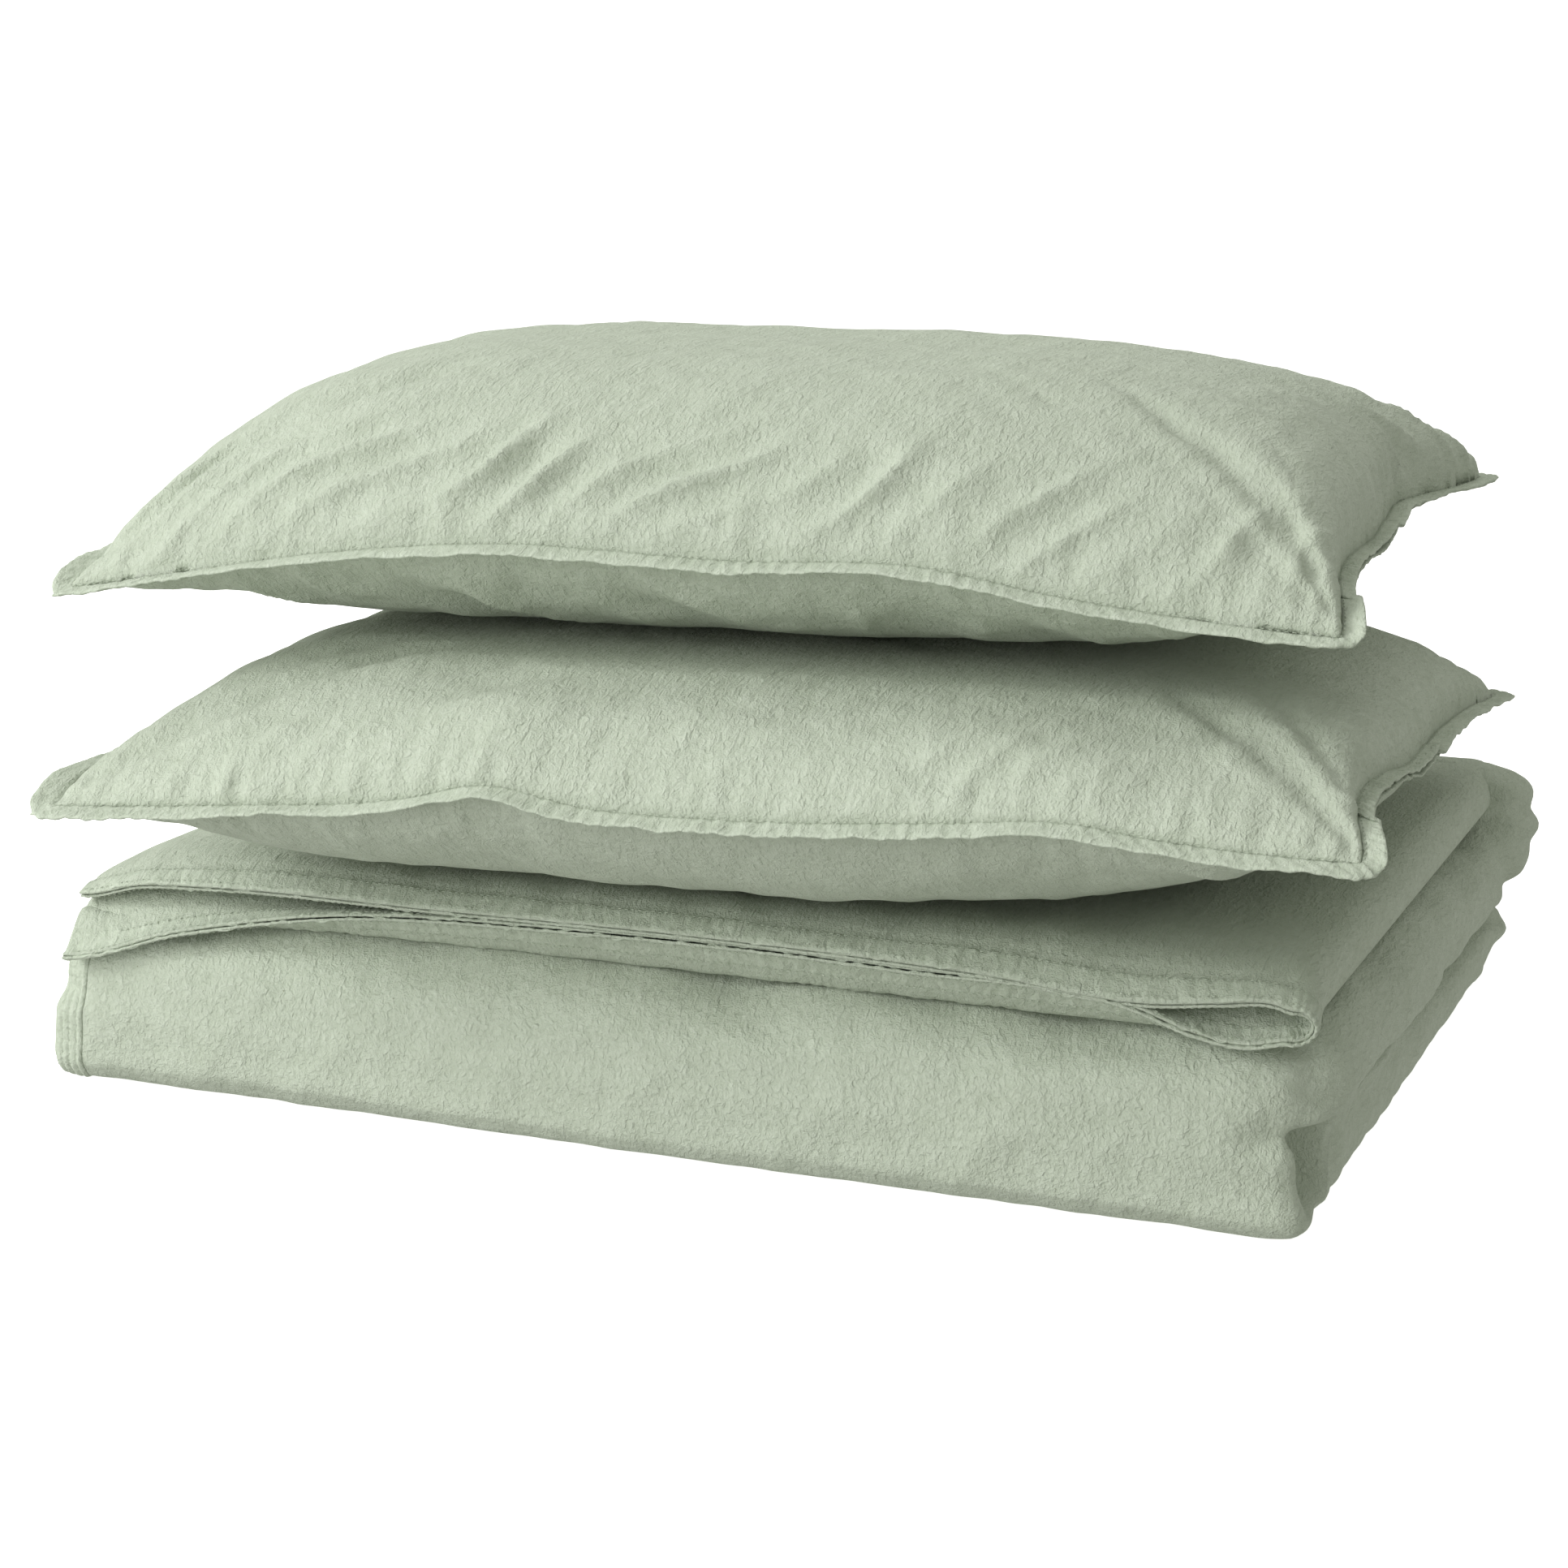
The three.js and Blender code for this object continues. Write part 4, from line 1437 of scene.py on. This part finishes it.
# ------------------------------------------------------------------ the studio
@dataclass(frozen=True)
class Studio:
    """A pale floor, soft light from the upper left and a long lens."""

    azimuth: float = 22.1
    elevation: float = 13.0
    distance: float = 1.61
    lens: float = 72.95
    target: tuple[float, float, float] = (-0.022, -0.017, 0.120)

    def build(self) -> None:
        """Places the floor, the lights and the camera."""
        self.floor()
        self.camera()
        self.light("key_light", (-1.9, -1.3, 1.5), 0.9, 32.0)
        self.light("front_light", (-0.9, -2.3, 1.35), 0.9, 13.0)
        self.light("bounce_light", (-0.5, -1.4, 0.06), 1.1, 7.5)
        self.light("top_light", (-0.5, 0.4, 2.2), 1.5, 12.0)
        world = bpy.data.worlds.new("studio")
        world.use_nodes = True
        back = world.node_tree.nodes["Background"]
        back.inputs["Color"].default_value = (0.99, 1.0, 0.93, 1.0)
        back.inputs["Strength"].default_value = 0.52
        bpy.context.scene.world = world
        bpy.context.scene.view_settings.view_transform = "Standard"

    def floor(self) -> None:
        """A large pale floor and, far behind the object, a lit white backdrop."""
        turned = Matrix.Translation((0, 8.0, 4.0)) @ Matrix.Rotation(math.pi / 2, 4, "X")
        sheets = (("studio_floor", Matrix.Identity(4), 0.78), ("studio_backdrop", turned, 1.2))
        for name, place, glow in sheets:
            bm = bmesh.new()
            bmesh.ops.create_grid(bm, x_segments=1, y_segments=1, size=12, matrix=place)
            obj = to_object(bm, name)
            material = bpy.data.materials.new(f"{name}_paper")
            material.use_nodes = True
            shader = material.node_tree.nodes["Principled BSDF"]
            shader.inputs["Base Color"].default_value = linear("F4F4F2")
            shader.inputs["Roughness"].default_value = 0.9
            shader.inputs["Specular IOR Level"].default_value = 0.1
            shader.inputs["Emission Color"].default_value = (1.0, 1.0, 1.0, 1.0)
            shader.inputs["Emission Strength"].default_value = glow
            obj.data.materials.append(material)
            obj.visible_diffuse = obj.visible_glossy = False

    def camera(self) -> None:
        """The camera, at its viewing angle."""
        a, e = math.radians(self.azimuth), math.radians(self.elevation)
        back = Vector((math.sin(a) * math.cos(e), -math.cos(a) * math.cos(e), math.sin(e)))
        data = bpy.data.cameras.new("camera")
        data.lens = self.lens
        data.sensor_width = 36
        obj = bpy.data.objects.new("camera", data)
        bpy.context.scene.collection.objects.link(obj)
        obj.location = Vector(self.target) + back * self.distance
        obj.rotation_euler = back.to_track_quat("Z", "Y").to_euler()
        bpy.context.scene.camera = obj

    def light(self, name: str, place: tuple[float, float, float], size: float, power: float) -> None:
        """A soft square light that faces the object.

        Args:
            name: The light's name.
            place: Where it stands.
            size: Its side.
            power: In watts.
        """
        data = bpy.data.lights.new(name, "AREA")
        data.size = size
        data.energy = power
        obj = bpy.data.objects.new(name, data)
        bpy.context.scene.collection.objects.link(obj)
        obj.visible_camera = False
        obj.location = place
        obj.rotation_euler = (Vector(place) - Vector(self.target)).to_track_quat("Z", "Y").to_euler()


def main() -> None:
    """Builds the bedding set."""
    logging.basicConfig(level=logging.INFO, format="%(message)s")
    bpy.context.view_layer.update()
    cloth = WashedCotton().build()
    # The hems take the same painted shade in the crinkles' hollows, with light and deep further apart
    hem = WashedCotton(name="hem_cotton", light="C3CBBC", deep="A3AD9A", relief=0.8).build()
    duvet_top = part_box("cover_outer_top")[1].z
    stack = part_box("upper_case_bottom")[0].z
    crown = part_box("upper_case_top")[1].z
    lower = Pillow(
        name="lower", body=Body.LOWER, turn=3.4, ears=(0.156, 0.177, 0.156, 0.150), above=0.084,
        below=0.060, floor=duvet_top + 1.5 * MM, ceiling=stack - 0.5 * MM,
        front_lift=((-1, 0), (-0.7, 0.002), (-0.42, 0.007), (-0.3, 0.014), (-0.14, 0.006), (0.1, 0.003),
                    (0.4, 0.006), (0.58, 0.009), (0.72, 0.004), (1, 0)),
        right_lift=((-1, 0), (-0.93, 0.006), (0, 0.002), (1, 0)),
        left_lift=((-1, 0), (-0.9, 0.009), (-0.75, 0.012), (-0.2, 0.012), (0.5, 0.007), (1, 0)),
        pull=(0.014, 0.015, 0.010),
        right_pull=((-1, 0), (-0.8, 0.009), (-0.5, 0.009), (0, 0.011), (0.5, 0.012), (0.75, 0.008), (1, 0)),
        shape=(2.9, 0.60, 1.9, 0.32, 2.1, 0.62, 3.2, 0.45), tilt=0.14, seed=100,
        front_folds=((-1, 0.15), (-0.5, 0.35), (0.2, 0.35), (0.7, 0.7), (1, 0.3)),
        right_folds=((-1, 0.05), (-0.5, 0.2), (0, 0.6), (0.8, 0.6), (1, 0.2)))
    upper = Pillow(
        name="upper", body=Body.UPPER, turn=3.3, ears=(0.2435, 0.2535, 0.2610, 0.2510), above=0.098,
        below=0.040, floor=stack + 0.5 * MM, ceiling=crown,
        front_lift=((-1, 0), (-0.85, 0.006), (-0.6, 0.017), (-0.3, 0.024), (0.1, 0.020), (0.4, 0.020),
                    (0.56, 0.012), (0.8, 0.004), (1, 0)),
        right_lift=((-1, 0), (-0.93, 0.005), (0, 0.004), (1, 0)),
        left_lift=((-1, 0), (-0.9, 0.008), (-0.75, 0.012), (-0.2, 0.012), (0.5, 0.007), (1, 0)),
        pull=(0.015, 0.014, 0.012),
        right_pull=((-1, 0), (-0.75, 0.010), (-0.4, 0.015), (0, 0.020), (0.25, 0.024), (0.5, 0.027), (1, 0)),
        shape=(5.6, 0.67, 1.9, 0.28, 2.7, 0.56, 1.85, 0.33), tilt=0.035, seed=200,
        front_folds=((-1, 0.15), (-0.85, 0.7), (-0.6, 1.7), (-0.3, 1.9), (0, 1.2), (0.3, 1.0), (0.7, 0.7),
                     (1, 0.4)),
        right_folds=((-1, 0.1), (-0.4, 0.4), (0.2, 1.6), (0.8, 2.2), (1, 0.6)))
    for maker in (FoldedBase(), TopFold(), lower, upper):
        for piece in maker.build(cloth, hem):
            log.info("%s: %d faces", piece.name, len(piece.data.polygons))
    Studio().build()


if __name__ == "__main__":
    main()
